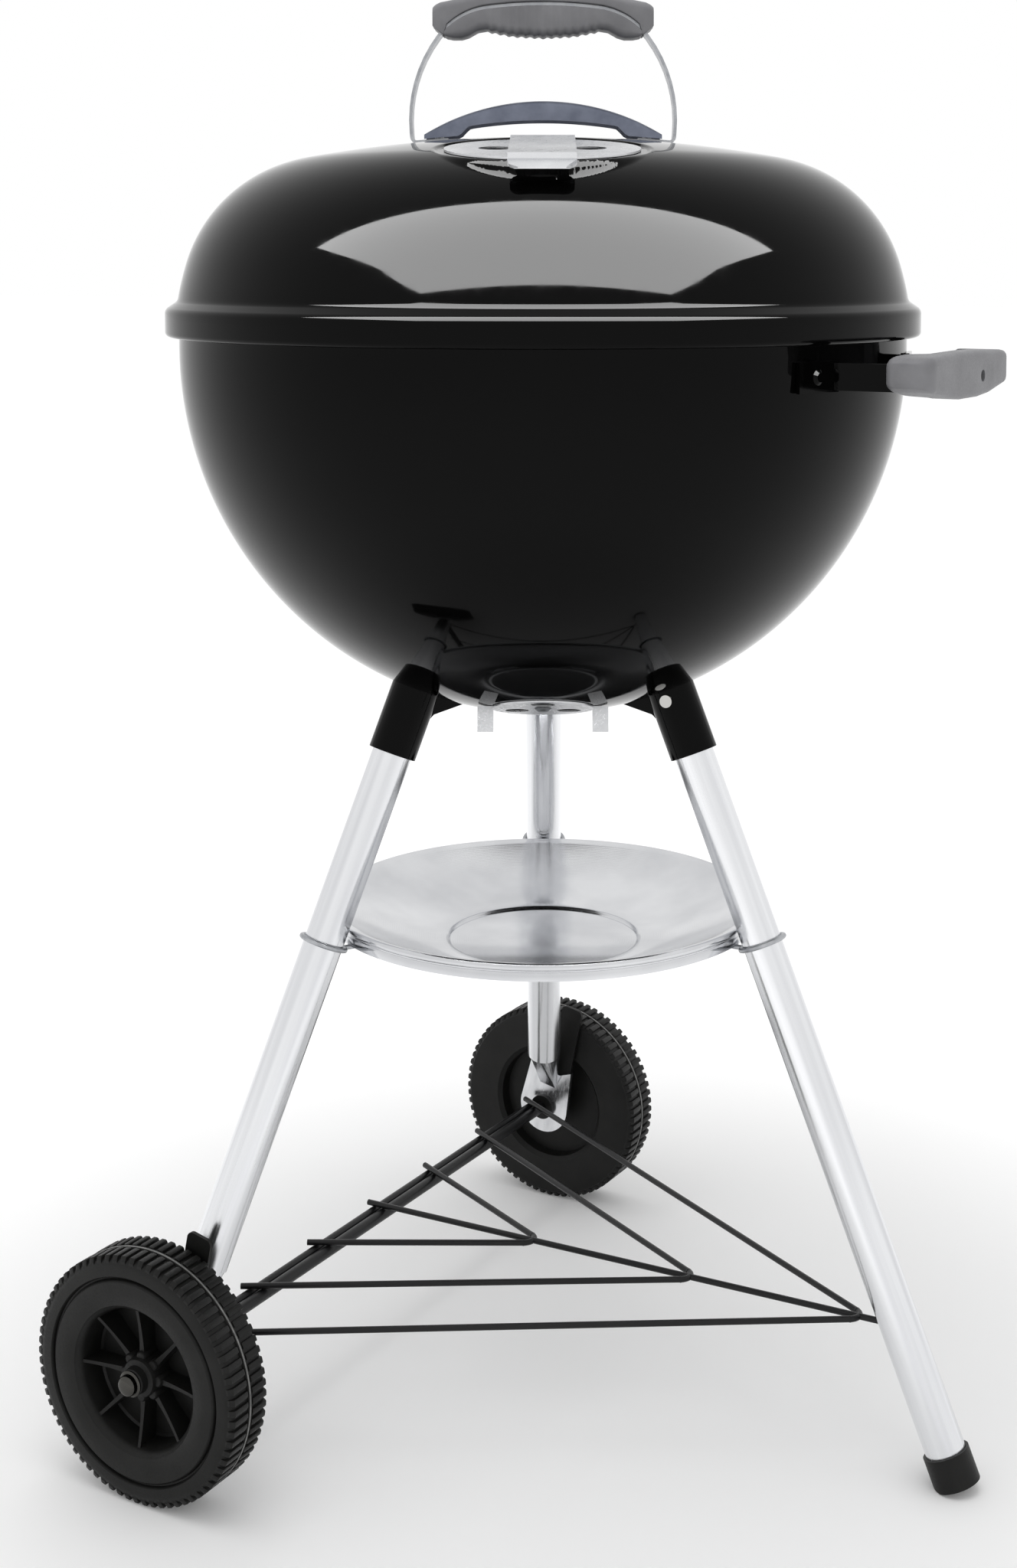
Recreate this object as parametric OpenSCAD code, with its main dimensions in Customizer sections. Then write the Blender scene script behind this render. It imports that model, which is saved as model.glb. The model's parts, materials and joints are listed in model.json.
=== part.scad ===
// Kettle charcoal grill on three splayed legs: a round lidded bowl, an ash pan, two wheels and a foot.
// +Z is up, +X runs towards the single foot, and the two wheels stand on the -X side.
// The origin is on the floor, under the middle of the whole grill.

/* [Kettle] */
// Outside diameter of the bowl
bowl_d = 470; // [430:1:520]
// Depth of the bowl's rounded part
bowl_depth = 239; // [210:1:260]
// Straight band between the rounded part and the rim
rim_band = 29; // [24:1:40]
// Height of the bowl's rim above the floor
rim_h = 724; // [690:1:780]
// Thickness of the enamelled sheet steel
sheet_t = 1.2; // [1:0.1:2]
// Radius of the bowl's rolled rim
bead_r = 2.2; // [1.8:0.1:3]

/* [Lid] */
// How far the lid's skirt stands out past the bowl
skirt_out = 8.75; // [8:0.25:12]
// Height of the lid's crown above its shoulder
lid_rise = 104.5; // [90:0.5:125]
// Radius of the curve between the lid's side and its crown
lid_corner_r = 96.5; // [80:0.5:105]
// Angle of the lid's side from the level
lid_side_a = 76.8; // [74:0.1:80]
// Height of the lid's straight side
lid_side_h = 17.5; // [10:0.5:25]
// Height of the skirt below the shoulder
skirt_h = 19.5; // [16:0.5:26]
// Angle of the shoulder from the level
shoulder_a = 34; // [28:1:40]
// Radius of the rolled hem of the skirt
hem_r = 3; // [2:0.1:3.4]

/* [Lid vent] */
// How far inside the lid's skirt the middle of its vent is
vent_in = 108.75; // [104:0.25:118]
// Lean of the vent's flat seat
vent_a = 8.2; // [7:0.1:9.5]
// Depth of the seat's middle below the top of the lid
vent_drop = 14.3; // [13.5:0.1:16]
// Diameter of the vent's slide
slide_d = 116; // [104:1:120]
// Thickness of the vent's slide
slide_t = 1.2; // [1:0.1:2]
// Diameter of one vent hole
lid_hole_d = 20.5; // [16:0.5:21]
// Distance of the holes from the middle of the vent
lid_hole_r = 27.5; // [26:0.5:32]
// Width of the bridge that turns the slide
bridge_w = 39; // [30:1:44]

/* [Lid handle] */
// Height of the handle's strap above the lid's crown, at its top
strap_h = 85.4; // [78:0.2:95]
// Distance of a fixing bolt from the middle of the lid
lid_bolt_s = 67; // [62:1:70]
// Width of the strap
strap_w = 18; // [14:1:22]
// Thickness of the strap
strap_t = 2; // [1.6:0.1:2.4]
// Length of the grip
grip_l = 142; // [136:1:150]
// Depth of the grip from front to back
grip_w = 26; // [24:1:32]
// Depth of the heat shield from front to back
shield_w = 34; // [28:1:42]

/* [Side handle] */
// How far the side grip stands out from the bowl
side_grip_out = 57; // [50:1:66]
// Length of the side grip
side_l = 140; // [130:1:156]
// Height of the side grip's middle below the rim
side_drop = 40; // [34:1:50]
// Height of the side grip at its middle
side_h = 28; // [24:1:34]
// Height of the bracket's strip
bracket_h = 16; // [12:1:18]
// Thickness of the bracket's strip
bracket_t = 2.5; // [2:0.1:3]

/* [Legs] */
// How far a leg's axis meets the floor outside the bowl's rim line
leg_out = 60; // [51:0.5:69]
// Lean of a leg from upright
leg_a = 22.8; // [22.2:0.1:23.4]
// Diameter of the leg tube
tube_d = 25.4; // [22:0.1:28]
// Wall of the leg tube
tube_wall = 1.5; // [1.2:0.1:2.5]
// Wall of a leg socket
socket_wall = 2.6; // [2:0.1:3.5]
// Height of a socket's top end above the floor
socket_top = 483; // [480:1:486]
// Length of a leg socket
socket_l = 50; // [44:1:60]
// Diameter of a snap button
button_d = 8; // [6:0.5:9]

/* [Wheels] */
// Diameter of a wheel
wheel_d = 154; // [140:1:170]
// Width of a wheel
wheel_w = 36; // [30:1:42]
// Diameter of the axle
axle_d = 8; // [7:0.5:10]
// How far each flattened leg end stands outside the axis of its tube
fork_out = 0.5; // [0:0.1:1.5]
// Thickness of a flattened leg end
fork_t = 3.2; // [2.6:0.1:4]
// Width of a flattened leg end
fork_w = 42; // [38:1:44]
// Number of ribs in a wheel's dish
wheel_ribs = 8; // [6:1:12]

/* [Wire rack] */
// Diameter of the rack's wires
wire_d = 4; // [3:0.2:5]
// Diameter of the rack's base wire
base_wire_d = 6; // [5:0.2:7]
// Number of nested wire bends
rack_bends = 3; // [2:1:4]
// Gap between the outermost bend and a flattened leg end
rack_side_gap = 9; // [6:0.5:20]
// Gap between the front leg and the point where the outermost arms would meet
rack_tip_gap = 11; // [8:0.5:24]
// Distance between the tips of two bends
rack_pitch = 117.5; // [105:0.5:122]

/* [Ash pan] */
// Height of the pan's rim above the floor
pan_rim_h = 327; // [322:1:332]
// Depth of the pan
pan_depth = 29; // [22:1:34]
// Height of the pan's turned-down edge
pan_edge = 10; // [7:0.5:12]
// Diameter of the round step in the pan's floor
pan_step_d = 130; // [90:1:160]
// Diameter of the wire of a pan clip
clip_wire_d = 3.2; // [2.4:0.2:4]

/* [Grates] */
// Gap between the cooking grate and the bowl's side
cook_gap = 11.8; // [9:0.1:16]
// Depth of the cooking grate below the bowl's rim
cook_drop = 56; // [50:1:66]
// Number of bars in the cooking grate
cook_bars = 21; // [15:2:25]
// Diameter of the charcoal grate
coal_d = 343; // [320:1:350]
// Gap between the charcoal grate and the bowl's side
coal_gap = 21.1; // [14:0.1:28]
// Number of bars in the charcoal grate
coal_bars = 13; // [9:2:17]
// Diameter of a grate's outer ring wire
ring_wire_d = 6; // [5:0.2:8]
// Diameter of a grate's bars
bar_d = 4.4; // [3:0.2:5]

/* [Bowl vents] */
// Distance of a bowl vent from the kettle's axis
damper_offset = 75; // [70:1:80]
// Diameter of a bowl vent's slide
damper_d = 64; // [56:1:68]
// Thickness of a bowl vent's slide
damper_t = 1; // [0.8:0.1:1.6]
// Diameter of a hole in the bowl
damper_hole_d = 15; // [12:0.5:16]
// Distance of the holes from the middle of the vent
damper_hole_r = 19; // [18:0.5:21]

/* [Hidden] */
$fn = 96;

// clearances
seat_gap = 0.3;
slide_gap = 0.3;
pin_gap = 0.1;
running_gap = 0.08;
tube_gap = 0.15;
touch_gap = 0.1;
hole_gap = 0.3;

// bearings of the parts round the kettle
leg_az = [0, 240, 120];
damper_az = [-60, 60, 180];
view_az = -60;

// bowl
bowl_r = bowl_d / 2;
leg_reach = bowl_r + leg_out;
bowl_z = rim_h - rim_band;
bead_out = 1.2;
bead_c = bowl_r - bead_r + bead_out;
bead_z = rim_h - bead_r;

// lid
lid_r = bowl_r + skirt_out;
vent_offset = lid_r - vent_in;
lid_step = 0.7;
lid_base_r = bowl_r + lid_step;
seat_reach = sheet_t + bead_r + seat_gap;
lid_z = bead_z + (seat_reach + (bead_c - lid_base_r) * sin(shoulder_a)) / cos(shoulder_a);
lid_top = lid_z + lid_rise;
side_dir = [-cos(lid_side_a), sin(lid_side_a)];
side_out = [sin(lid_side_a), cos(lid_side_a)];
shoulder_out = [sin(shoulder_a), cos(shoulder_a)];
lid_base = [lid_base_r, lid_z];
side_top = lid_base + side_dir * lid_side_h / sin(lid_side_a);
corner_c = side_top - side_out * lid_corner_r;
corner_dz = corner_c[1] - lid_top;
crown_r = (pow(lid_corner_r, 2) - pow(corner_c[0], 2) - pow(corner_dz, 2)) / (2 * (corner_dz + lid_corner_r));
crown_a = asin(corner_c[0] / (crown_r - lid_corner_r));
lip_r = 5;
lip_c_r = lid_r - lip_r;
lip_c_z = lid_z - (lip_r + (lip_c_r - lid_base_r) * sin(shoulder_a)) / cos(shoulder_a);
hem_z = lid_z - skirt_h;

// lid vent
vent_z = lid_top - vent_drop;
seat_r = slide_d / 2 + 4;
lid_rivet_r = 4;
bridge_t = 1.4;
bridge_rise = 2.2;
bridge_back = slide_d / 2 - 10;
bridge_front = slide_d / 2 + 3;
lip_fall = 3.6;
lip_run = 12;

// legs
foot_gap = 0.2;
tube_r = tube_d / 2;
socket_bore = tube_r + tube_gap;
socket_r = socket_bore + socket_wall;
axle_r = axle_d / 2;
axle_h = wheel_d / 2;
cap_wall = 1.8;
cap_r = tube_r + tube_gap + cap_wall;
sole_trim = 3;
cap_start = (cap_r * sin(leg_a) - sole_trim) / cos(leg_a);
cap_l = 20;
cap_floor = 4;
leg_top = (socket_top - 4) / cos(leg_a);
socket_start = socket_top / cos(leg_a) - socket_l;
button_at = socket_top / cos(leg_a) - 13;
button_turn = -81;
foot_reach = leg_reach - cap_start * sin(leg_a) + cap_r * cos(leg_a);
kettle_x = (lid_r - foot_reach) / 2;

// wheels and forks
axle_leg_r = leg_reach - axle_h * tan(leg_a);
axle_x = axle_leg_r * cos(120);
fork_y = axle_leg_r * sin(60) + fork_out;
bush_t = 2.4;
bush_collar_t = 3.5;
base_wire_gap = 0.8;
bush_r = 6;
bush_plate_r = 16;
bush_tab = 86;
bush_tab_w = 18;
bush_tab_corner = 4;
wheel_in = fork_y + fork_t / 2 + touch_gap + bush_t + 0.2;
wheel_out = wheel_in + wheel_w;
axle_end = wheel_out + 3;
hub_r = 13;
fork_a = atan(tan(leg_a) * cos(60));
fork_top = 38;
pinch_up = 18;
pinch_t = fork_t - 0.6;
tube_end = (axle_h + 52) / cos(leg_a);

// rack
rack_z = axle_h + axle_r + wire_d / 2 + 0.1;
base_wire_x = axle_x - axle_r - base_wire_d / 2 - 0.5;
rack_end_x = base_wire_x - base_wire_d / 2 - 2;
leg_face = leg_reach - rack_z * tan(leg_a) - tube_r / cos(leg_a);
rack_half = fork_y - rack_side_gap;
rack_tip = leg_face - rack_tip_gap;
spine_end = leg_face + 4;
rack_rise = 10;
rack_a = atan(rack_rise / (rack_tip - rack_end_x));
base_wire_drop = (wire_d + base_wire_d) / 2 / cos(rack_a) + touch_gap;
base_wire_z = rack_z + (base_wire_x - axle_x) * tan(rack_a) - base_wire_drop;
base_wire_half = fork_y - fork_t / 2 - touch_gap - bush_collar_t - base_wire_gap;
bend_r = 7;
bend_bead = 0.15;

// ash pan
pan_gap = 0.3;
pan_r = leg_reach - pan_rim_h * tan(leg_a) - tube_r / cos(leg_a) - pan_gap;
pan_floor_z = pan_rim_h - pan_depth;
pan_roll = 2.4;
clip_r = clip_wire_d / 2;
clip_z = pan_rim_h - pan_edge - clip_r - 0.2;
clip_ring = tube_r + touch_gap + clip_r;
clip_at = (clip_z + clip_ring * sin(leg_a)) / cos(leg_a);
clip_reach_in = pan_r - 18;

// grates
cook_r = bowl_r - sheet_t - cook_gap;
cook_h = rim_h - cook_drop;
coal_r = coal_d / 2;
coal_h = bowl_z - (bowl_depth - sheet_t) * sqrt(1 - pow((coal_r + coal_gap) / (bowl_r - sheet_t), 2));
tab_t = 2;
tab_w = 16;

// bowl vents
damper_r = damper_d / 2;
damper_seat_r = damper_r + 1.6;
damper_slope = atan(bowl_depth * damper_offset / (bowl_r * sqrt(pow(bowl_r, 2) - pow(damper_offset, 2))));
damper_z = bowl_z - bowl_depth * sqrt(1 - pow(damper_offset / bowl_r, 2));
damper_sink = 2.6;
damper_pin_r = 3;

// side handle
side_z = rim_h - side_drop;
side_reach = bowl_r + side_grip_out;
side_in = side_reach - 28;
side_mid_t = 16;
arm_y = side_l / 2 - 10;
strip_out = side_reach - 8;
screw_y = 19;
screw_z = -1.5;

// colours
enamel = [0.03, 0.03, 0.035];
nylon = [0.32, 0.32, 0.34];
bright = [0.8, 0.8, 0.8];
plain = [0.65, 0.65, 0.66];
moulded = [0.12, 0.12, 0.12];
wire = [0.1, 0.1, 0.1];

// ---------- frames ----------
module kettle() { translate([kettle_x, 0, 0]) children(); }
module at_leg(i) { kettle() rotate([0, 0, leg_az[i]]) translate([leg_reach, 0, 0]) rotate([0, -leg_a, 0]) children(); }
module at_vent() {
    kettle() rotate([0, 0, view_az]) translate([vent_offset, 0, vent_z]) rotate([0, vent_a, 0]) children();
}
module at_damper(i) {
    kettle() rotate([0, 0, damper_az[i]]) translate([damper_offset, 0, damper_z])
        rotate([0, 180 - damper_slope, 0]) translate([0, 0, -damper_sink]) children();
}
module lid_handle() { kettle() rotate([0, 0, view_az + 90]) children(); }
module at_axle() { translate([kettle_x + axle_x, 0, axle_h]) children(); }

// ---------- outlines ----------
// points of an arc about a centre, from angle a to angle b measured from upright
function arc(c, r, a, b, n) = [for (i = [0 : n]) c + r * [sin(a + (b - a) * i / n), cos(a + (b - a) * i / n)]];

// the lid's side view, moved inwards by t
function lid_outline(t) = concat(
    arc([0, lid_top - crown_r], crown_r - t, 0, crown_a, 6),
    arc(corner_c, lid_corner_r - t, crown_a + 3, lid_side_a, 12),
    [lid_base - t * (side_out + shoulder_out) / (1 + side_out * shoulder_out)],
    arc([lip_c_r, lip_c_z], lip_r - t, shoulder_a, 90, 3),
    [[lid_r - t, hem_z]]
);

// the bowl's side view, moved inwards by t
function bowl_outline(t) = concat(
    [for (i = [0 : 24]) [(bowl_r - t) * sin(i * 3.75), bowl_z - (bowl_depth - t) * cos(i * 3.75)]],
    [[bowl_r - t, bead_z]]
);

// a path of arcs: p is [x, y, heading], segs is a list of [radius, turn], a straight is [length, 0]
function step(p, r, a, f) = a == 0
    ? [p[0] + r * f * cos(p[2]), p[1] + r * f * sin(p[2]), p[2]]
    : [p[0] - r * (sin(p[2] - a * f) - sin(p[2])), p[1] - r * (cos(p[2]) - cos(p[2] - a * f)), p[2] - a * f];
function walk(p, segs, n, k = 0) = k == len(segs)
    ? [p]
    : concat(
        [for (i = [0 : n - 1]) step(p, segs[k][0], segs[k][1], i / n)],
        walk(step(p, segs[k][0], segs[k][1], 1), segs, n, k + 1)
    );
function beside(path, w) = [for (p = path) [p[0] - w * sin(p[2]), p[1] + w * cos(p[2])]];
function back(list) = [for (i = [len(list) - 1 : -1 : 0]) list[i]];
function flip(list) = [for (p = list) [-p[0], p[1]]];
function slice(list) = [for (i = [1 : len(list) - 1]) list[i]];

// ---------- kettle ----------
module bowl_body(t) {
    rotate_extrude() polygon(concat(bowl_outline(t), [[0, bead_z]]));
}

module seat_cut(r, drop, up) { translate([0, 0, -drop]) cylinder(r = r, h = up + drop); }

module bowl() {
    color(enamel) difference() {
        union() {
            difference() {
                kettle() bowl_body(0);
                for (i = [0 : 2]) at_damper(i) seat_cut(damper_seat_r, 0, 20);
            }
            kettle() rotate_extrude() translate([bead_c, bead_z]) circle(r = bead_r, $fn = 24);
        }
        difference() {
            kettle() union() {
                bowl_body(sheet_t);
                translate([0, 0, bead_z - 1]) cylinder(r = bowl_r - sheet_t, h = 10);
            }
            for (i = [0 : 2]) at_damper(i) seat_cut(damper_seat_r + sheet_t, sheet_t, 20);
        }
        for (i = [0 : 2]) at_damper(i) {
            damper_holes();
            translate([0, 0, -10]) cylinder(r = damper_pin_r + pin_gap, h = 20, $fn = 32);
        }
        side_rivet_holes();
    }
}

module lid_body(t) { rotate_extrude() polygon(concat(lid_outline(t), [[0, hem_z]])); }

module lid() {
    color(enamel) difference() {
        union() {
            difference() {
                union() {
                    kettle() lid_body(0);
                    at_vent() translate([0, 0, -30]) cylinder(r = seat_r, h = 30);
                }
                at_vent() cylinder(r = seat_r, h = 30);
            }
            kettle() rotate_extrude() translate([lid_r - hem_r, hem_z]) circle(r = hem_r, $fn = 24);
        }
        difference() {
            union() {
                kettle() union() {
                    lid_body(sheet_t);
                    translate([0, 0, hem_z - 10]) cylinder(r = lid_r - 2 * hem_r, h = 12);
                }
                at_vent() translate([0, 0, -30]) cylinder(r = seat_r - sheet_t, h = 30 - sheet_t);
            }
            at_vent() translate([0, 0, -sheet_t]) cylinder(r = seat_r + sheet_t, h = 40);
        }
        at_vent() {
            lid_holes();
            translate([0, 0, -10]) cylinder(r = lid_rivet_r + pin_gap, h = 20, $fn = 32);
        }
        lid_bolt_shanks(hole_gap);
    }
}

// ---------- lid vent ----------
module lid_holes() {
    for (a = [0 : 90 : 270]) rotate([0, 0, a]) translate([lid_hole_r, 0, -10]) cylinder(d = lid_hole_d, h = 20, $fn = 48);
}

module lid_slide() {
    color(bright) at_vent() difference() {
        translate([0, 0, slide_gap]) cylinder(d = slide_d, h = slide_t);
        lid_holes();
        translate([0, 0, -10]) cylinder(r = lid_rivet_r + running_gap, h = 20, $fn = 32);
    }
}

// side view of the bridge: a foot at the back, a level span, and a finger lip in front
module bridge_outline() {
    top = slide_gap + slide_t + bridge_rise + bridge_t;
    foot = slide_gap + slide_t;
    polygon([
        [-bridge_back - 8, foot], [-bridge_back + 1, foot], [-bridge_back + 3, top - bridge_t],
        [bridge_front - 1, top - bridge_t], [bridge_front + 1, slide_gap],
        [bridge_front + lip_run, slide_gap - lip_fall], [bridge_front + lip_run, slide_gap - lip_fall + bridge_t],
        [bridge_front + 2.4, slide_gap + bridge_t], [bridge_front + 0.6, top],
        [-bridge_back + 2, top], [-bridge_back, foot + bridge_t], [-bridge_back - 8, foot + bridge_t]
    ]);
}

module lid_slide_bridge() {
    round = 6;
    color(bright) at_vent() intersection() {
        translate([0, bridge_w / 2, 0]) rotate([90, 0, 0]) linear_extrude(bridge_w) bridge_outline();
        translate([0, 0, -20]) linear_extrude(60) union() {
            translate([-slide_d, -bridge_w / 2]) square([slide_d + bridge_front + lip_run - round, bridge_w]);
            translate([0, -bridge_w / 2 + round]) square([bridge_front + lip_run, bridge_w - 2 * round]);
            for (s = [-1, 1]) translate([bridge_front + lip_run - round, s * (bridge_w / 2 - round)])
                circle(r = round, $fn = 32);
        }
    }
}

module lid_slide_rivet() {
    head = 0.9;
    color(plain) at_vent() union() {
        translate([0, 0, -sheet_t - touch_gap - 1.2]) cylinder(r = lid_rivet_r + 3, h = 1.2, $fn = 32);
        translate([0, 0, -sheet_t - touch_gap - 1]) cylinder(r = lid_rivet_r, h = sheet_t + slide_gap + slide_t + 1.5, $fn = 32);
        translate([0, 0, 2 * slide_gap + slide_t]) cylinder(r = lid_rivet_r + 2.5, h = head, $fn = 32);
    }
}

// ---------- lid handle ----------
crown_c = [0, lid_top - crown_r];
foot_slope = asin(lid_bolt_s / crown_r);
function on_crown(s, up) = crown_c + (crown_r + up) * [s / crown_r, sqrt(1 - pow(s / crown_r, 2))];
strap_arcs = [[282, 7.3], [47, 45.7], [89.4, 42]];
strap_start = [0, lid_top + strap_h, 0];
strap_foot_r = 3.4;
leg_foot = on_crown(lid_bolt_s, touch_gap + strap_t / 2);
foot_turn = 85 + foot_slope;
foot_out = [sin(foot_slope), cos(foot_slope)];
strap_knee = walk(strap_start, strap_arcs, 1)[3];
knee_bend = step(strap_knee, strap_foot_r, foot_turn, 1);
knee_dir = [cos(strap_knee[2]), sin(strap_knee[2])];
strap_drop = -([knee_bend[0], knee_bend[1]] - leg_foot) * foot_out / (knee_dir * foot_out);
strap_foot_l = 20;
strap_path = walk(strap_start, concat(strap_arcs, [[strap_drop, 0], [strap_foot_r, foot_turn], [strap_foot_l, 0]]), 8);
grip_path = walk(strap_start, concat(strap_arcs, [[strap_drop, 0]]), 8);

module strap_half(w) { polygon(concat(beside(strap_path, w / 2), back(beside(strap_path, -w / 2)))); }

module across(w) { translate([0, w / 2, 0]) rotate([90, 0, 0]) linear_extrude(w) children(); }

module lid_bolt_shanks(gap) {
    for (s = [-1, 1]) lid_handle() translate([s * lid_bolt_s, 0, on_crown(lid_bolt_s, 0)[1]])
        rotate([0, s * foot_slope, 0]) translate([0, 0, -8 - gap]) cylinder(r = 2.9 + gap, h = 14 + 2 * gap, $fn = 32);
}

module lid_strap() {
    color(plain) difference() {
        lid_handle() across(strap_w) union() {
            strap_half(strap_t);
            mirror([1, 0]) strap_half(strap_t);
        }
        lid_bolt_shanks(hole_gap);
    }
}

// outline of the whole grip, seen from the front
grip_top_r = 371;
grip_top_z = lid_top + strap_h + 7.3;
grip_end = grip_l / 2;
grip_low = grip_top_z - 30;
module grip_outline() {
    half = concat(
        arc([0, grip_top_z - grip_top_r], grip_top_r, 0, 9.7, 6),
        [[grip_end - 3, grip_top_z - 6.8], [grip_end, grip_top_z - 9.6], [grip_end, grip_top_z - 22],
        [grip_end - 8.6, grip_low + 1.4], [grip_end - 18.5, grip_low], [grip_end - 23, grip_low + 1.6],
        [grip_end - 29, grip_low + 5], [grip_end - 35, grip_low + 6.2]],
        flip(back(arc([0, grip_low + 2 + 163], -163, 0, 12.4, 5)))
    );
    polygon(concat(half, back(flip(half))));
}

module above_strap(gap) {
    line = beside(grip_path, gap);
    low = line[len(line) - 1][1];
    far = grip_end + 30;
    polygon(concat(flip(back(line)), slice(line), [[far, low], [far, low + 200], [-far, low + 200], [-far, low]]));
}

module below_strap(gap) {
    line = beside(grip_path, -gap);
    polygon(concat(flip(back(line)), slice(line)));
}

module grip_half(top) {
    lid_handle() difference() {
        intersection() {
            across(grip_w) grip_outline();
            across(grip_w + 2) if (top) { above_strap(0.15); } else { below_strap(0.15); }
        }
        across(strap_w + 0.4) union() {
            strap_half(strap_t + 0.3);
            mirror([1, 0]) strap_half(strap_t + 0.3);
        }
    }
}

module lid_grip_top() { color(nylon) grip_half(true); }
module lid_grip_bottom() { color(nylon) grip_half(false); }

shield_rise = 23;
shield_r = 149;
shield_in_r = 302;
shield_in_rise = 10.7;
shield_foot_in = lid_bolt_s - 9.5;
shield_foot_out = lid_bolt_s + 10;
module shield_outline(t) {
    base = touch_gap + strap_t + touch_gap;
    foot_a = on_crown(shield_foot_out, base);
    foot_b = on_crown(shield_foot_in, base);
    half = concat(
        arc([0, lid_top + shield_rise - shield_r], shield_r - t, 0, asin((shield_foot_out - 1) / shield_r), 10),
        [foot_a, foot_b],
        back(arc([0, lid_top + shield_in_rise - shield_in_r], shield_in_r, 0, asin((shield_foot_in - 7) / shield_in_r), 5))
    );
    polygon(concat(half, back(flip(half))));
}

module lid_heat_shield() {
    wall = 1.2;
    color([0.28, 0.3, 0.36]) difference() {
        lid_handle() difference() {
            across(shield_w) shield_outline(0);
            across(shield_w - 2 * wall) intersection() {
                translate([0, -2]) shield_outline(wall);
                translate([-shield_foot_in + 4, lid_top - 40]) square([2 * shield_foot_in - 8, 90]);
            }
        }
        lid_bolt_shanks(hole_gap);
    }
}

module lid_bolts() {
    color(plain) union() {
        lid_bolt_shanks(0);
        for (s = [-1, 1]) lid_handle() translate([s * lid_bolt_s, 0, on_crown(lid_bolt_s, 0)[1]])
            rotate([0, s * foot_slope, 0]) translate([0, 0, -sheet_t - 3.3]) cylinder(r = 6, h = 3, $fn = 32);
    }
}

// ---------- legs ----------
module tube(from, to, r, wall) {
    translate([0, 0, from]) difference() {
        cylinder(r = r, h = to - from, $fn = 64);
        translate([0, 0, -1]) cylinder(r = r - wall, h = to - from + 2, $fn = 64);
    }
}

module button_pin(r, from, to) {
    translate([0, 0, button_at]) rotate([0, 0, button_turn]) rotate([0, 90, 0]) translate([0, 0, from])
        cylinder(r = r, h = to - from, $fn = 32);
}

module leg_tube(i, from) {
    difference() {
        at_leg(i) tube(from, leg_top, tube_r, tube_wall);
        kettle() bowl_body(-0.5);
        at_leg(i) button_pin(button_d / 2 + pin_gap, 2, tube_r + 5);
    }
}

module leg_sockets() {
    color(enamel) for (i = [0 : 2]) difference() {
        union() {
            at_leg(i) translate([0, 0, socket_start]) cylinder(r = socket_r, h = socket_l, $fn = 64);
            kettle() rotate([0, 0, leg_az[i]]) translate([0, 1.5, 0]) rotate([90, 0, 0]) linear_extrude(3) polygon([
                [leg_reach - (socket_top - 34) * tan(leg_a) - socket_r + 3, socket_top - 34],
                [leg_reach - (socket_top - 20) * tan(leg_a) - socket_r - 3, socket_top - 24],
                [leg_reach - socket_top * tan(leg_a) - socket_r - 22, socket_top - 18],
                [leg_reach - socket_top * tan(leg_a) - socket_r - 22, socket_top + 4],
                [leg_reach - socket_top * tan(leg_a), socket_top + 4]
            ]);
            at_leg(i) translate([socket_r - 2, -3, socket_start + socket_l - 3]) cube([8, 6, 2]);
        }
        at_leg(i) translate([0, 0, socket_start - 1]) cylinder(r = socket_bore, h = socket_l + 30, $fn = 64);
        at_leg(i) button_pin(button_d / 2 + pin_gap, 2, socket_r + 5);
        kettle() bowl_body(0);
    }
}

module socket_buttons() {
    color(bright) for (i = [0 : 2]) at_leg(i) button_pin(button_d / 2, tube_r - tube_wall - 3, socket_r + 1.8);
}

module front_leg() {
    color(bright) difference() {
        leg_tube(0, cap_start + cap_floor + foot_gap);
        rack_spine(wire_d / 2 + hole_gap);
    }
}

// a flattened tube end: ears at its top, a round bottom and the hole for the axle
module fork_plate() {
    half = fork_w / 2;
    rotate([90, 0, 0]) linear_extrude(fork_t, center = true) difference() {
        union() {
            circle(r = half, $fn = 64);
            polygon([[-half, 0], [-half + 3, fork_top], [-9, fork_top - 8], [9, fork_top - 8], [half - 3, fork_top - 3], [half, 0]]);
        }
        circle(r = bush_r + tube_gap, $fn = 48);
    }
}

module wheel_leg(i, side) {
    color(bright) union() {
        leg_tube(i, tube_end);
        hull() {
            at_leg(i) translate([0, 0, tube_end + 2]) cylinder(r = tube_r - 0.4, h = 1, $fn = 32);
            at_axle() translate([0, side * fork_y, 0]) rotate([0, fork_a, 0])
                translate([-7, -pinch_t / 2, pinch_up]) cube([14, pinch_t, 3]);
        }
        at_axle() translate([0, side * fork_y, 0]) rotate([0, fork_a, 0]) fork_plate();
    }
}

module left_leg() { wheel_leg(1, -1); }
module right_leg() { wheel_leg(2, 1); }

module foot_cap() {
    color(moulded) difference() {
        at_leg(0) difference() {
            translate([0, 0, cap_start]) cylinder(r = cap_r, h = cap_l, $fn = 64);
            translate([0, 0, cap_start + cap_floor]) cylinder(r = tube_r + tube_gap, h = cap_l, $fn = 64);
        }
        translate([0, -50, -20]) cube([500, 100, 20]);
    }
}

// ---------- wheels ----------
module along_y() { rotate([-90, 0, 0]) children(); }

module axle() { color(wire) at_axle() translate([0, -axle_end, 0]) along_y() cylinder(r = axle_r, h = 2 * axle_end, $fn = 48); }

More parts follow.
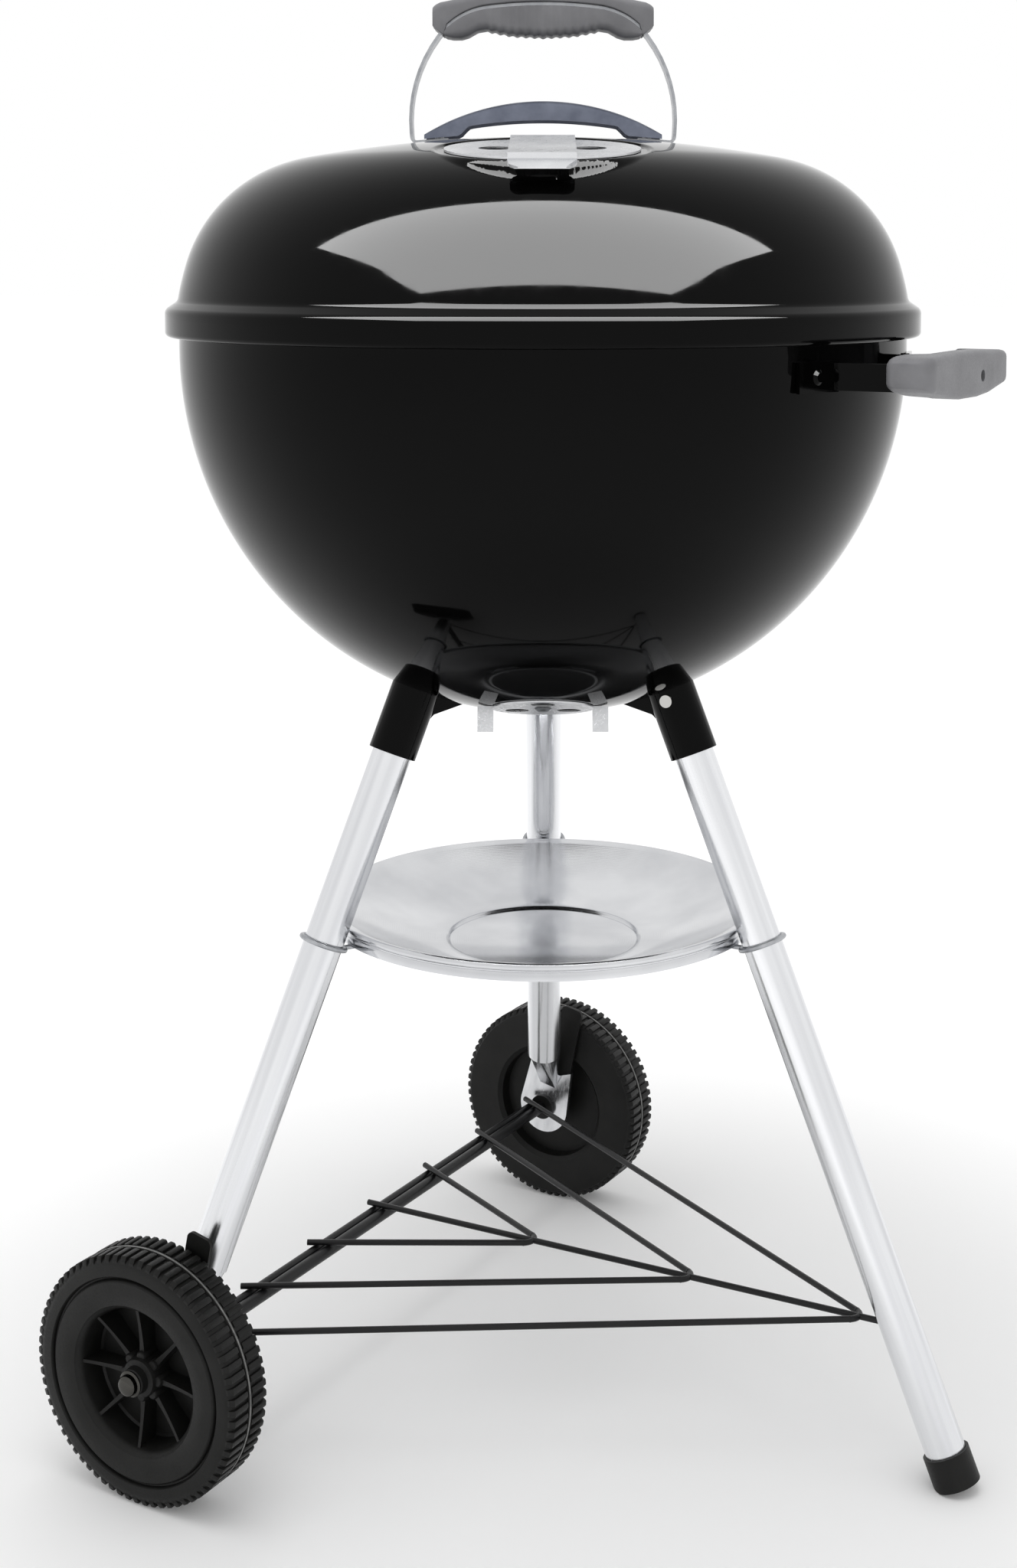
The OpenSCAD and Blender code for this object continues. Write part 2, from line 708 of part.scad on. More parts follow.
// a moulded bush: a collar inside the leg, a sleeve through it, and a plate with a tab outside
module axle_bush() {
    outside = fork_y + fork_t / 2 + touch_gap;
    inside = fork_y - fork_t / 2 - touch_gap;
    difference() {
        union() {
            translate([0, inside - bush_collar_t, 0]) along_y() cylinder(r = bush_r + 3.5, h = bush_collar_t, $fn = 48);
            translate([0, inside - 1, 0]) along_y() cylinder(r = bush_r, h = outside - inside + 2, $fn = 48);
            translate([0, outside + bush_t, 0]) rotate([0, fork_a, 0]) rotate([90, 0, 0]) linear_extrude(bush_t) union() {
                circle(r = bush_plate_r, $fn = 48);
                translate([bush_plate_r - bush_tab_w, 0]) square([bush_tab_w, bush_tab - bush_tab_corner]);
                translate([bush_plate_r - bush_tab_w + bush_tab_corner, 0])
                    square([bush_tab_w - 2 * bush_tab_corner, bush_tab]);
                for (x = [bush_plate_r - bush_tab_w + bush_tab_corner, bush_plate_r - bush_tab_corner])
                    translate([x, bush_tab - bush_tab_corner]) circle(r = bush_tab_corner, $fn = 32);
            }
        }
        translate([0, inside - 10, 0]) along_y() cylinder(r = axle_r + running_gap, h = 30, $fn = 48);
    }
}

module axle_bushes() {
    color(moulded) at_axle() for (s = [0, 1]) mirror([0, s, 0]) axle_bush();
}

module axle_caps() {
    color(bright) at_axle() for (s = [0, 1]) mirror([0, s, 0]) translate([0, wheel_out + 0.2, 0]) along_y() difference() {
        union() {
            cylinder(r = 8, h = 1.2, $fn = 48);
            cylinder(r = 6.4, h = 4, $fn = 48);
            translate([0, 0, 4]) cylinder(r1 = 6.4, r2 = 3.4, h = 2.2, $fn = 48);
        }
        translate([0, 0, -1]) cylinder(r = axle_r + running_gap, h = 4.2, $fn = 48);
    }
}

// half section of a wheel: radius against distance from the inner face
tread_r = wheel_d / 2;
dish_r = 0.5 * tread_r;
module wheel_section() {
    polygon([
        [axle_r + running_gap, 0], [hub_r, 0], [hub_r, 12], [dish_r, 12], [dish_r, 4], [dish_r + 3, 1],
        [tread_r - 16, 1], [tread_r - 2.5, 0.6], [tread_r - 1, 1.8], [tread_r - 0.4, wheel_w * 0.3],
        [tread_r, wheel_w * 0.44], [tread_r, wheel_w * 0.56], [tread_r - 0.4, wheel_w * 0.7],
        [tread_r - 1, wheel_w - 2.4], [tread_r - 2.6, wheel_w - 1], [0.81 * tread_r, wheel_w - 1],
        [0.79 * tread_r, wheel_w - 3.4], [0.77 * tread_r, wheel_w - 2], [0.68 * tread_r, wheel_w - 0.4],
        [0.58 * tread_r, wheel_w - 1.6], [0.53 * tread_r, wheel_w - 4], [dish_r, wheel_w - 8],
        [dish_r - 1, 15], [hub_r, 15], [hub_r - 1, wheel_w - 6], [axle_r + 4, wheel_w], [axle_r + running_gap, wheel_w]
    ]);
}

module wheel(side) {
    color(moulded) at_axle() mirror([0, side < 0 ? 1 : 0, 0]) translate([0, wheel_in, 0]) along_y() union() {
        rotate_extrude() wheel_section();
        for (k = [1 : wheel_ribs]) rotate([0, 0, k * 360 / wheel_ribs]) translate([hub_r - 2, -1.1, 14])
            cube([dish_r - hub_r + 2, 2.2, wheel_w - 24]);
    }
}

module left_wheel() { wheel(-1); }
module right_wheel() { wheel(1); }

// ---------- wire rack ----------
module rod(a, b, r) {
    d = b - a;
    l = norm(d);
    translate(a) rotate([0, acos(d[2] / l), atan2(d[1], d[0])]) cylinder(r = r, h = l, $fn = 24);
}

module rack_tilt() { kettle() translate([axle_x, 0, rack_z]) rotate([0, -rack_a, 0]) translate([-axle_x, 0, 0]) children(); }

module rack_spine(r) { rack_tilt() rod([rack_end_x, 0, 0], [spine_end / cos(rack_a), 0, 0], r); }

// one bend of wire: two arms and a rounded tip, with a bead of weld coat where they join
module rack_bend(half, tip) {
    a = atan(half / (tip - rack_end_x));
    centre = tip - bend_r / sin(a);
    joint = [centre + bend_r * sin(a), bend_r * cos(a), 0];
    along = [sin(90 - a), -cos(90 - a), 0];
    for (s = [0, 1]) mirror([0, s, 0]) {
        rod([rack_end_x, half, 0], joint - 0.05 * along, wire_d / 2);
        translate(joint) sphere(r = wire_d / 2 + bend_bead, $fn = 24);
    }
    translate([centre, 0, 0]) rotate([0, 0, a - 90 + 0.5]) rotate_extrude(angle = 180 - 2 * a - 1)
        translate([bend_r, 0]) circle(d = wire_d, $fn = 24);
}

module wire_rack() {
    color(wire) union() {
        for (k = [1 : rack_bends]) rack_tilt() rack_bend(
            rack_half * k / rack_bends, rack_tip - (rack_bends - k) * rack_pitch);
        rack_spine(wire_d / 2);
    }
}

module rack_base_wire() {
    color(wire) kettle() translate([base_wire_x, -base_wire_half, base_wire_z]) along_y()
        cylinder(d = base_wire_d, h = 2 * base_wire_half, $fn = 48);
}

// ---------- ash pan ----------
module ash_pan() {
    t = sheet_t;
    step = pan_step_d / 2;
    wall_in = step + 6;
    wall_out = pan_r - 2 * pan_roll;
    function wall(u, d) = [wall_in + (wall_out - wall_in) * u, 3 + (pan_depth - 3) * pow(u, 1.5) - d];
    color(bright) kettle() translate([0, 0, pan_floor_z]) rotate_extrude() polygon(concat(
        [[0, 0], [step - 3, 0], [step, 2.4]],
        [for (i = [0 : 10]) wall(i / 10, 0)],
        [[wall_out + pan_roll, pan_depth + 0.6], [pan_r - 0.6, pan_depth - 0.6], [pan_r, pan_depth - 2.4],
        [pan_r, pan_depth - pan_edge], [pan_r - t, pan_depth - pan_edge], [pan_r - t, pan_depth - 2.4],
        [wall_out + pan_roll, pan_depth - 0.8]],
        [for (i = [10 : -1 : 0]) wall(i / 10, t)],
        [[step + 0.8, 2.4 - t], [step - 2.4, -t], [0, -t]]
    ));
}

module ash_pan_clips() {
    color(plain) for (i = [0 : 2]) union() {
        at_leg(i) translate([0, 0, clip_at]) rotate_extrude() translate([clip_ring, 0]) circle(r = clip_r, $fn = 24);
        kettle() rotate([0, 0, leg_az[i]]) rod(
            [clip_reach_in, 0, clip_z], [leg_reach - clip_z * tan(leg_a) - clip_ring / cos(leg_a), 0, clip_z], clip_r);
    }
}

// ---------- side handle ----------
module side_at() { kettle() translate([0, 0, side_z]) children(); }

// plan of the bent strip of the bracket, w wide
module strip(w) {
    half = w / 2;
    round = 8;
    corner = [strip_out - round, arm_y - round];
    function bend(r) = [for (a = [0 : 15 : 90]) corner + r * [sin(a), cos(a)]];
    start = sqrt(pow(bowl_r, 2) - pow(arm_y - half, 2)) + 1;
    outer = concat([[start, arm_y + half]], bend(round + half));
    inner = concat([[start, arm_y - half]], bend(round - half));
    function over(list) = [for (p = list) [p[0], -p[1]]];
    polygon(concat(outer, back(over(outer)), over(inner), back(inner)));
}

foot_at = asin(arm_y / bowl_r);
foot_l = 34;
module side_rivet_holes() {
    for (s = [-1, 1]) side_at() rotate([0, 0, s * (foot_at + 3.4)]) translate([bowl_r - 10, 0, 0]) rotate([0, 90, 0])
        cylinder(r = 2.5 + pin_gap, h = 20, $fn = 32);
}

module side_bracket() {
    color(enamel) difference() {
        union() {
            side_at() translate([0, 0, -bracket_h / 2]) linear_extrude(bracket_h) strip(bracket_t);
            for (s = [-1, 1]) side_at() rotate([0, 0, s * (foot_at + 3.2)])
                translate([bowl_r + touch_gap, -foot_l / 2, -bracket_h / 2 - 1]) cube([bracket_t, foot_l, bracket_h + 2]);
        }
        side_rivet_holes();
        grip_screw(pin_gap);
    }
}

module side_bracket_rivets() {
    color(enamel) for (s = [-1, 1]) side_at() rotate([0, 0, s * (foot_at + 3.4)]) union() {
        translate([bowl_r - sheet_t - 1.4, 0, 0]) rotate([0, 90, 0]) cylinder(r = 2.5, h = sheet_t + bracket_t + 2.4, $fn = 32);
        translate([bowl_r + bracket_t + 0.15, 0, 0]) rotate([0, 90, 0]) cylinder(r1 = 4.6, r2 = 2.8, h = 1.8, $fn = 32);
        translate([bowl_r - sheet_t - 2.6, 0, 0]) rotate([0, 90, 0]) cylinder(r = 4.4, h = 1.6, $fn = 32);
    }
}

module grip_screw(gap) {
    side_at() translate([strip_out - 8, screw_y, screw_z]) rotate([0, 90, 0]) cylinder(r = 1.9 + gap, h = 12, $fn = 32);
}

// plan of the side grip: a bar with its ends turned in
module side_grip_plan() {
    half = side_l / 2;
    round = 9;
    difference() {
        union() {
            translate([side_in, -half + 4]) square([side_reach - side_in - round, side_l - 8]);
            translate([side_reach - round - 1, -half + round]) square([round + 1, side_l - 2 * round]);
            for (s = [-1, 1]) translate([side_reach - round, s * (half - round)]) circle(r = round, $fn = 48);
            for (s = [-1, 1]) translate([side_in + 4, s * (half - 4)]) circle(r = 4, $fn = 32);
            translate([side_in + 4, -half]) square([side_reach - side_in - round - 4, side_l]);
        }
        translate([side_in - 20, -half + 24]) square([20 + side_reach - side_in - side_mid_t - 6, side_l - 48]);
        translate([side_in - 1, -half + 32]) square([side_reach - side_in - side_mid_t + 1, side_l - 64]);
        for (s = [-1, 1]) translate([side_reach - side_mid_t - 6, s * (half - 32)]) scale([0.75, 1]) circle(r = 8, $fn = 32);
    }
}

// the grip seen from outside: deeper in the middle than at its ends
module side_grip_face() {
    half = side_l / 2;
    up = side_h / 2 - 1;
    polygon([
        [-half, -5], [-half + 8, -8], [-half / 2, -side_h / 2 + 1.5], [-half / 5, -side_h / 2], [half / 5, -side_h / 2],
        [half / 2, -side_h / 2 + 1.5], [half - 8, -8], [half, -5],
        [half, up - 4], [half - 6, up - 1], [half / 2, up + 0.6], [0, up + 1], [-half / 2, up + 0.6], [-half + 6, up - 1], [-half, up - 4]
    ]);
}

module side_grip() {
    color(nylon) difference() {
        side_at() intersection() {
            translate([0, 0, -side_h]) linear_extrude(2 * side_h) side_grip_plan();
            translate([side_in - 10, 0, 0]) rotate([90, 0, 90]) linear_extrude(60) side_grip_face();
        }
        side_at() translate([0, 0, -bracket_h / 2 - 0.2]) linear_extrude(bracket_h + 0.4) strip(bracket_t + 0.4);
        side_at() translate([strip_out - 8, screw_y, screw_z]) rotate([0, 90, 0]) cylinder(r = 1.9 + pin_gap, h = 40, $fn = 32);
        side_at() translate([strip_out + 4, screw_y, screw_z]) rotate([0, 90, 0]) cylinder(r = 3.6, h = 40, $fn = 32);
    }
}

module side_grip_screw() {
    color(moulded) union() {
        grip_screw(0);
        side_at() translate([strip_out + 4, screw_y, screw_z]) rotate([0, 90, 0]) cylinder(r = 3.4, h = 1.6, $fn = 32);
    }
}

// ---------- grates ----------
module grate(r, z, bars) {
    inner = r - ring_wire_d / 2;
    pitch = 2 * inner / (bars + 1);
    kettle() translate([0, 0, z]) union() {
        rotate_extrude() translate([inner, 0]) circle(d = ring_wire_d, $fn = 24);
        for (k = [1 : bars]) {
            y = -inner + k * pitch;
            l = sqrt(pow(inner, 2) - pow(y, 2));
            translate([-l, y, 0.6]) rotate([0, 90, 0]) cylinder(d = bar_d, h = 2 * l, $fn = 16);
        }
        for (s = [-1, 1]) {
            l = sqrt(pow(inner, 2) - pow(0.45 * inner, 2));
            translate([s * 0.45 * inner, -l, -bar_d * 0.7]) along_y() cylinder(d = bar_d, h = 2 * l, $fn = 16);
        }
    }
}

module coal_grate() { color(plain) grate(coal_r, coal_h, coal_bars); }
module cook_grate() { color(bright) grate(cook_r, cook_h, cook_bars); }

// ledges welded inside the bowl, cut to its wall
module grate_tabs(r, z, turn) {
    top = z - ring_wire_d / 2 - touch_gap;
    color(enamel) kettle() intersection() {
        for (k = [0 : 3]) rotate([0, 0, turn + k * 90]) union() {
            translate([r - 14, -tab_w / 2, top - tab_t]) cube([60, tab_w, tab_t]);
            translate([r - 4, -tab_w / 2, top - 12]) cube([60, tab_w, 12]);
        }
        bowl_body(sheet_t);
    }
}

module cook_grate_tabs() { grate_tabs(cook_r, cook_h, 45); }
module coal_grate_tabs() { grate_tabs(coal_r, coal_h, 20); }

// ---------- bowl vents ----------
module damper_holes() {
    for (a = [60 : 120 : 300]) rotate([0, 0, a]) translate([damper_hole_r, 0, -10])
        cylinder(d = damper_hole_d, h = 20, $fn = 32);
}

module damper(i) {
    ear = 10;
    hang = 16;
    color(plain) at_damper(i) difference() {
        translate([0, 0, slide_gap]) union() {
            cylinder(r = damper_r, h = damper_t);
            for (s = [-1, 1]) {
                translate([-ear / 2, s > 0 ? damper_r - 4 : -damper_r - ear + 1, 0]) cube([ear, ear + 3, damper_t]);
                translate([-ear / 2, s > 0 ? damper_r - 1 : -damper_r - ear + 1, 0]) cube([damper_t, ear, hang]);
            }
        }
        damper_holes();
        translate([0, 0, -10]) cylinder(r = damper_pin_r + running_gap, h = 20, $fn = 32);
    }
}

module front_damper() { damper(0); }
module rear_damper() { damper(1); }
module side_damper() { damper(2); }

module damper_rivets() {
    color(plain) for (i = [0 : 2]) at_damper(i) union() {
        translate([0, 0, -sheet_t - 1.6]) cylinder(r = damper_pin_r, h = sheet_t + slide_gap + damper_t + 2.2, $fn = 32);
        translate([0, 0, 2 * slide_gap + damper_t]) cylinder(r1 = damper_pin_r + 2.5, r2 = damper_pin_r, h = 1.8, $fn = 32);
        translate([0, 0, -sheet_t - touch_gap - 1.4]) cylinder(r = damper_pin_r + 1.6, h = 1.4, $fn = 32);
    }
}

bowl();
leg_sockets();
socket_buttons();
front_leg();
left_leg();
right_leg();
foot_cap();
axle();
axle_bushes();
axle_caps();
left_wheel();
right_wheel();
wire_rack();
rack_base_wire();
ash_pan();
ash_pan_clips();
side_bracket();
side_grip();
side_bracket_rivets();
side_grip_screw();
cook_grate_tabs();
coal_grate_tabs();
coal_grate();
cook_grate();
front_damper();
rear_damper();
side_damper();
damper_rivets();
lid();
lid_slide();
lid_slide_bridge();
lid_slide_rivet();
lid_strap();
lid_grip_top();
lid_grip_bottom();
lid_heat_shield();
lid_bolts();
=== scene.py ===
import json
import math

import bmesh
import bpy
from mathutils import Matrix, Vector

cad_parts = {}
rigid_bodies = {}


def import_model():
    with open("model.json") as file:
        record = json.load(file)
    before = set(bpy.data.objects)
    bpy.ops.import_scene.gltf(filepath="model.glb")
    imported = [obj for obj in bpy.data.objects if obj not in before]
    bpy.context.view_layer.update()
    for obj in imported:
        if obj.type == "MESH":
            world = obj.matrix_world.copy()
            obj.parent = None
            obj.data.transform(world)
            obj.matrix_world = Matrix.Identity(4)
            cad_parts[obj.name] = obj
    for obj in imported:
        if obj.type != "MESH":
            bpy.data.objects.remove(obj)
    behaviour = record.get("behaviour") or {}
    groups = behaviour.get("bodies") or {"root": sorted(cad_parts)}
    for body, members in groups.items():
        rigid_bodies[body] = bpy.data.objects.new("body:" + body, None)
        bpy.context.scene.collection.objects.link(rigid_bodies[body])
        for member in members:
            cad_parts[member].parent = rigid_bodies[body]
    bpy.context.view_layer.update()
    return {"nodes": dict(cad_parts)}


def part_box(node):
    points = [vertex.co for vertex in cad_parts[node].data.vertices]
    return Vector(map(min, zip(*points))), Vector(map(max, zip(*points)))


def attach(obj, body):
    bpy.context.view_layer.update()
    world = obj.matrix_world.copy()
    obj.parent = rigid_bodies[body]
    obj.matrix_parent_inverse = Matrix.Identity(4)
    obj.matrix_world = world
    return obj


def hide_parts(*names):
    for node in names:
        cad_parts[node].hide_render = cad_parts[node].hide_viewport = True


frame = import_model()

# ------------------------------------------------------------------ sizes
# Lengths are in millimetres here, and meshes are made in metres.
lid_lo, lid_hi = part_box("lid")
KETTLE_X = (lid_lo.x + lid_hi.x) * 500
LID_R = (lid_hi.x - lid_lo.x) * 500
LID_TOP = 829.616
LID_BASE_R = 235.7
LID_BASE_Z = 725.116
HEM_R = 3.0
HEM_Z = LID_BASE_Z - 19.5
CORNER_R = 96.5
SIDE_A = math.radians(76.8)
SIDE_H = 17.5
BOW_FROM, BOW_TO = 73.5, 80.5  # lean of the lid's bowed side, at its top and at its foot
SHOULDER_A = math.radians(34)
LIP_R = 5.0
DOME_FOOT = 742.0  # over the fold at the dome's foot
SHEET = 1.2

BOWL_R = 235.0
BOWL_DEPTH = 239.0
BOWL_Z = 695.0
RIM_H = 724.0
BEAD_R = 2.2
DAMPER_AZ = (-60, 60, 180)
DAMPER_AT = 75.0  # from the kettle's axis
DAMPER_SEAT_R = 33.6
DAMPER_SEAT_EDGE = 2.4
DAMPER_SEAT_RISE = 2.6
DAMPER_HOLE_AT, DAMPER_HOLE_R = 19, 7.5
DAMPERS_UNDER = 560  # the dampers' seats lie under this height

LEG_A = math.radians(22.8)

VENT_AZ = -60
VENT_AT = 135.0
VENT_Z = LID_TOP - 14.3
VENT_A = 8.2
SEAT_R = 62.0
SEAT_EDGE = 3.2
LID_HOLE_AT, LID_HOLE_R = 27.5, 10.25

wheel_lo, wheel_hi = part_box("left_wheel")
AXLE = ((wheel_lo.x + wheel_hi.x) * 500, 0.0, (wheel_lo.z + wheel_hi.z) * 500)
WHEEL_R = (wheel_hi.z - wheel_lo.z) * 500
WHEEL_IN = -wheel_hi.y * 1000
WHEEL_W = (wheel_hi.y - wheel_lo.y) * 1000
AXLE_BORE_R = 4.08
LUGS, RIBS = 72, 8

KETTLE = Matrix.Translation((KETTLE_X, 0, 0))
FROM_UP_TO_Y = Matrix.Rotation(math.radians(-90), 4, "X")


# ------------------------------------------------------------------ meshes
def new_piece(name, verts, faces, angle=40):
    """A mesh object at the origin from points in millimetres."""
    mesh = bpy.data.meshes.new(name)
    mesh.from_pydata([(x / 1000, y / 1000, z / 1000) for x, y, z in verts], [], faces)
    mesh.validate()
    bm = bmesh.new()
    bm.from_mesh(mesh)
    bmesh.ops.remove_doubles(bm, verts=bm.verts, dist=1e-6)
    bmesh.ops.recalc_face_normals(bm, faces=bm.faces)
    bm.to_mesh(mesh)
    bm.free()
    mesh.shade_smooth()
    mesh.set_sharp_from_angle(angle=math.radians(angle))
    obj = bpy.data.objects.new(name, mesh)
    bpy.context.scene.collection.objects.link(obj)
    return obj


def lathe(outline, steps, place=None, closed=True):
    """Points and faces of an outline of (radius, height) turned about +Z, then moved by place."""
    verts, faces, rings = [], [], []
    for r, z in outline:
        if r < 1e-6:
            rings.append([len(verts)])
            verts.append((0.0, 0.0, z))
        else:
            rings.append(list(range(len(verts), len(verts) + steps)))
            verts += [
                (r * math.cos(2 * math.pi * k / steps), r * math.sin(2 * math.pi * k / steps), z)
                for k in range(steps)
            ]
    pairs = list(zip(rings, rings[1:] + rings[:1])) if closed else list(zip(rings, rings[1:]))
    for a, b in pairs:
        for k in range(steps):
            n = (k + 1) % steps
            if len(a) == 1 and len(b) == 1:
                continue
            if len(a) == 1:
                faces.append((a[0], b[k], b[n]))
            elif len(b) == 1:
                faces.append((a[k], b[0], a[n]))
            else:
                faces.append((a[k], b[k], b[n], a[n]))
    if place is not None:
        verts = [tuple(place @ Vector(v)) for v in verts]
    return verts, faces


def loft(rings):
    """Points and faces of a capped skin over rings that have the same number of points."""
    n = len(rings[0])
    verts = [p for ring in rings for p in ring]
    faces = []
    for i in range(len(rings) - 1):
        for k in range(n):
            m = (k + 1) % n
            faces.append((i * n + k, i * n + m, (i + 1) * n + m, (i + 1) * n + k))
    faces.append(tuple(range(n)))
    faces.append(tuple(reversed(range((len(rings) - 1) * n, len(rings) * n))))
    return verts, faces


def rounded(a0, a1, b0, b1, r_low, r_high, n=5):
    """A rectangle a0..a1 by b0..b1 whose corners are rounded by r_low at b0 and r_high at b1."""
    pts = []
    for ca, cb, r, start in (
        (a1, b1, r_high, 0), (a0, b1, r_high, 90), (a0, b0, r_low, 180), (a1, b0, r_low, 270)
    ):
        sa = -1 if ca == a1 else 1
        sb = -1 if cb == b1 else 1
        for k in range(n):
            t = math.radians(start + 90 * k / (n - 1))
            pts.append((ca + sa * r + r * math.cos(t), cb + sb * r + r * math.sin(t)))
    return pts


def joined(parts):
    """Several (points, faces) as one."""
    verts, faces = [], []
    for v, f in parts:
        n = len(verts)
        verts += list(v)
        faces += [tuple(i + n for i in face) for face in f]
    return verts, faces


def arc(cx, cz, r, a, b, n):
    """Points round (cx, cz), from a to b degrees measured from upright."""
    turns = [math.radians(a + (b - a) * i / n) for i in range(n + 1)]
    return [(cx + r * math.sin(t), cz + r * math.cos(t)) for t in turns]


def smoothstep(x):
    """Eases from 0 to 1."""
    x = min(1.0, max(0.0, x))
    return x * x * (3 - 2 * x)


def mix(points, x):
    """Height of a broken line of (x, y) points at x."""
    for (x0, y0), (x1, y1) in zip(points, points[1:]):
        if x <= x1:
            return y0 + (y1 - y0) * (x - x0) / (x1 - x0)
    return points[-1][1]


def local(az, r, z, tilt):
    """The frame of a vent: its seat's middle, with +Z out of the sheet. tilt is in radians."""
    return (
        KETTLE
        @ Matrix.Rotation(math.radians(az), 4, "Z")
        @ Matrix.Translation((r, 0, z))
        @ Matrix.Rotation(tilt, 4, "Y")
    )


def bake(obj):
    """Puts the result of a piece's modifiers into a plain mesh."""
    baked = bpy.data.meshes.new_from_object(obj.evaluated_get(bpy.context.evaluated_depsgraph_get()))
    obj.modifiers.clear()
    obj.data = baked
    obj.data.name = obj.name


def cut(obj, verts, faces):
    """Takes a closed shape out of a piece."""
    tool = new_piece("tool", verts, faces)
    mod = obj.modifiers.new("cut", "BOOLEAN")
    mod.operation, mod.solver, mod.object = "DIFFERENCE", "EXACT", tool
    bake(obj)
    bpy.data.objects.remove(tool)
    obj.data.shade_smooth()
    obj.data.set_sharp_from_angle(angle=math.radians(40))


# ------------------------------------------------------------------ materials
def linear(code):
    """A colour written as sRGB hex, turned to linear."""
    vals = [int(code[i : i + 2], 16) / 255 for i in (1, 3, 5)]
    return tuple(v / 12.92 if v <= 0.04045 else ((v + 0.055) / 1.055) ** 2.4 for v in vals) + (1.0,)


def add(tree, kind, links=(), **settings):
    """Adds a node. settings are its properties, or its sockets by name; links are (socket, source)."""
    node = tree.nodes.new(kind)
    for key, value in settings.items():
        if hasattr(node, key):
            setattr(node, key, value)
        else:
            name = key.replace("_", " ").lower()
            next(s for s in node.inputs if s.name.lower() == name and s.enabled).default_value = value
    for socket, source in links:
        tree.links.new(source, node.inputs[socket])
    return node


def calc(tree, operation, *values):
    """The result of a sum on sockets and plain numbers."""
    node = add(tree, "ShaderNodeMath", operation=operation)
    for socket, value in zip(node.inputs, values):
        if isinstance(value, (int, float)):
            socket.default_value = value
        else:
            tree.links.new(value, socket)
    return node.outputs[0]


def finish_of(name, colour, rough, metal=0.0, ior=None):
    """A named material with its Principled shader, and the object coordinates for its patterns."""
    mat = bpy.data.materials.new(name)
    mat.use_nodes = True
    tree = mat.node_tree
    tree.nodes.clear()
    shader = add(tree, "ShaderNodeBsdfPrincipled", Roughness=rough, Metallic=metal)
    shader.inputs["Base Color"].default_value = linear(colour)
    if ior:
        shader.inputs["IOR"].default_value = ior
    add(tree, "ShaderNodeOutputMaterial", [("Surface", shader.outputs[0])])
    where = add(tree, "ShaderNodeTexCoord").outputs["Object"]
    return mat, tree, shader, where


def noise(tree, where, grain_mm, detail=3.0, stretch=(1, 1, 1)):
    """Noise whose grain is grain_mm across, drawn out by stretch."""
    place = add(tree, "ShaderNodeMapping", [("Vector", where)])
    place.inputs["Scale"].default_value = tuple(1 / s for s in stretch)
    scale = 1000 / grain_mm
    return add(tree, "ShaderNodeTexNoise", [("Vector", place.outputs[0])], Scale=scale, Detail=detail)


def vary(tree, shader, source, low, high):
    """Drives the roughness by a pattern, between low and high."""
    span = add(tree, "ShaderNodeMapRange", [("Value", source)])
    span.inputs["From Min"].default_value = 0.3
    span.inputs["From Max"].default_value = 0.7
    span.inputs["To Min"].default_value = low
    span.inputs["To Max"].default_value = high
    tree.links.new(span.outputs[0], shader.inputs["Roughness"])


def relief(tree, shader, source, depth_mm, strength):
    """Drives the surface's fine relief by a pattern."""
    bump = add(tree, "ShaderNodeBump", [("Height", source)], Strength=strength, Distance=depth_mm / 1000)
    tree.links.new(bump.outputs[0], shader.inputs["Normal"])


def tint(tree, shader, source, dark, light):
    """Colour that wanders between two hex values."""
    ramp = add(tree, "ShaderNodeValToRGB", [("Fac", source)])
    ramp.color_ramp.elements[0].position, ramp.color_ramp.elements[1].position = 0.32, 0.68
    ramp.color_ramp.elements[0].color, ramp.color_ramp.elements[1].color = linear(dark), linear(light)
    tree.links.new(ramp.outputs[0], shader.inputs["Base Color"])


def porcelain_enamel():
    # Glass fused on steel: deep black, mirror-like, with the faint waviness of a fired coat.
    mat, tree, shader, where = finish_of("porcelain enamel", "#040404", 0.05, ior=1.5)
    shader.inputs["Specular IOR Level"].default_value = 0.08
    fine = noise(tree, where, 9, 2)
    vary(tree, shader, fine.outputs[0], 0.035, 0.07)
    relief(tree, shader, noise(tree, where, 16, 1).outputs[0], 0.04, 0.2)
    return mat


def glass_filled_nylon():
    # Moulded nylon: dull mid grey, with a fine spark-eroded grain that breaks up its sheen.
    mat, tree, shader, where = finish_of("glass filled nylon", "#77777a", 0.5, ior=1.53)
    grain = noise(tree, where, 1.1, 4)
    tint(tree, shader, noise(tree, where, 22, 3).outputs[0], "#717174", "#7f7f82")
    vary(tree, shader, grain.outputs[0], 0.42, 0.58)
    relief(tree, shader, grain.outputs[0], 0.12, 0.5)
    return mat


def drawn_aluminium(az):
    # Satin tube: bright, with fine lines along its length that stretch the highlights.
    mat, tree, shader, where = finish_of("drawn aluminium %d" % az, "#e2e3e5", 0.22, 1.0)
    # The grain runs along the leg that leans toward az.
    square = Matrix.Rotation(LEG_A, 3, "Y") @ Matrix.Rotation(math.radians(-az), 3, "Z")
    upright = add(tree, "ShaderNodeMapping", [("Vector", where)])
    upright.inputs["Rotation"].default_value = square.to_euler("XYZ")
    lines = noise(tree, upright.outputs[0], 1.6, 3, stretch=(1, 1, 120))
    streaks = noise(tree, upright.outputs[0], 9, 2, stretch=(1, 1, 40))
    tint(tree, shader, streaks.outputs[0], "#d3d4d7", "#edeef0")
    vary(tree, shader, lines.outputs[0], 0.16, 0.28)
    relief(tree, shader, lines.outputs[0], 0.012, 0.25)
    return mat


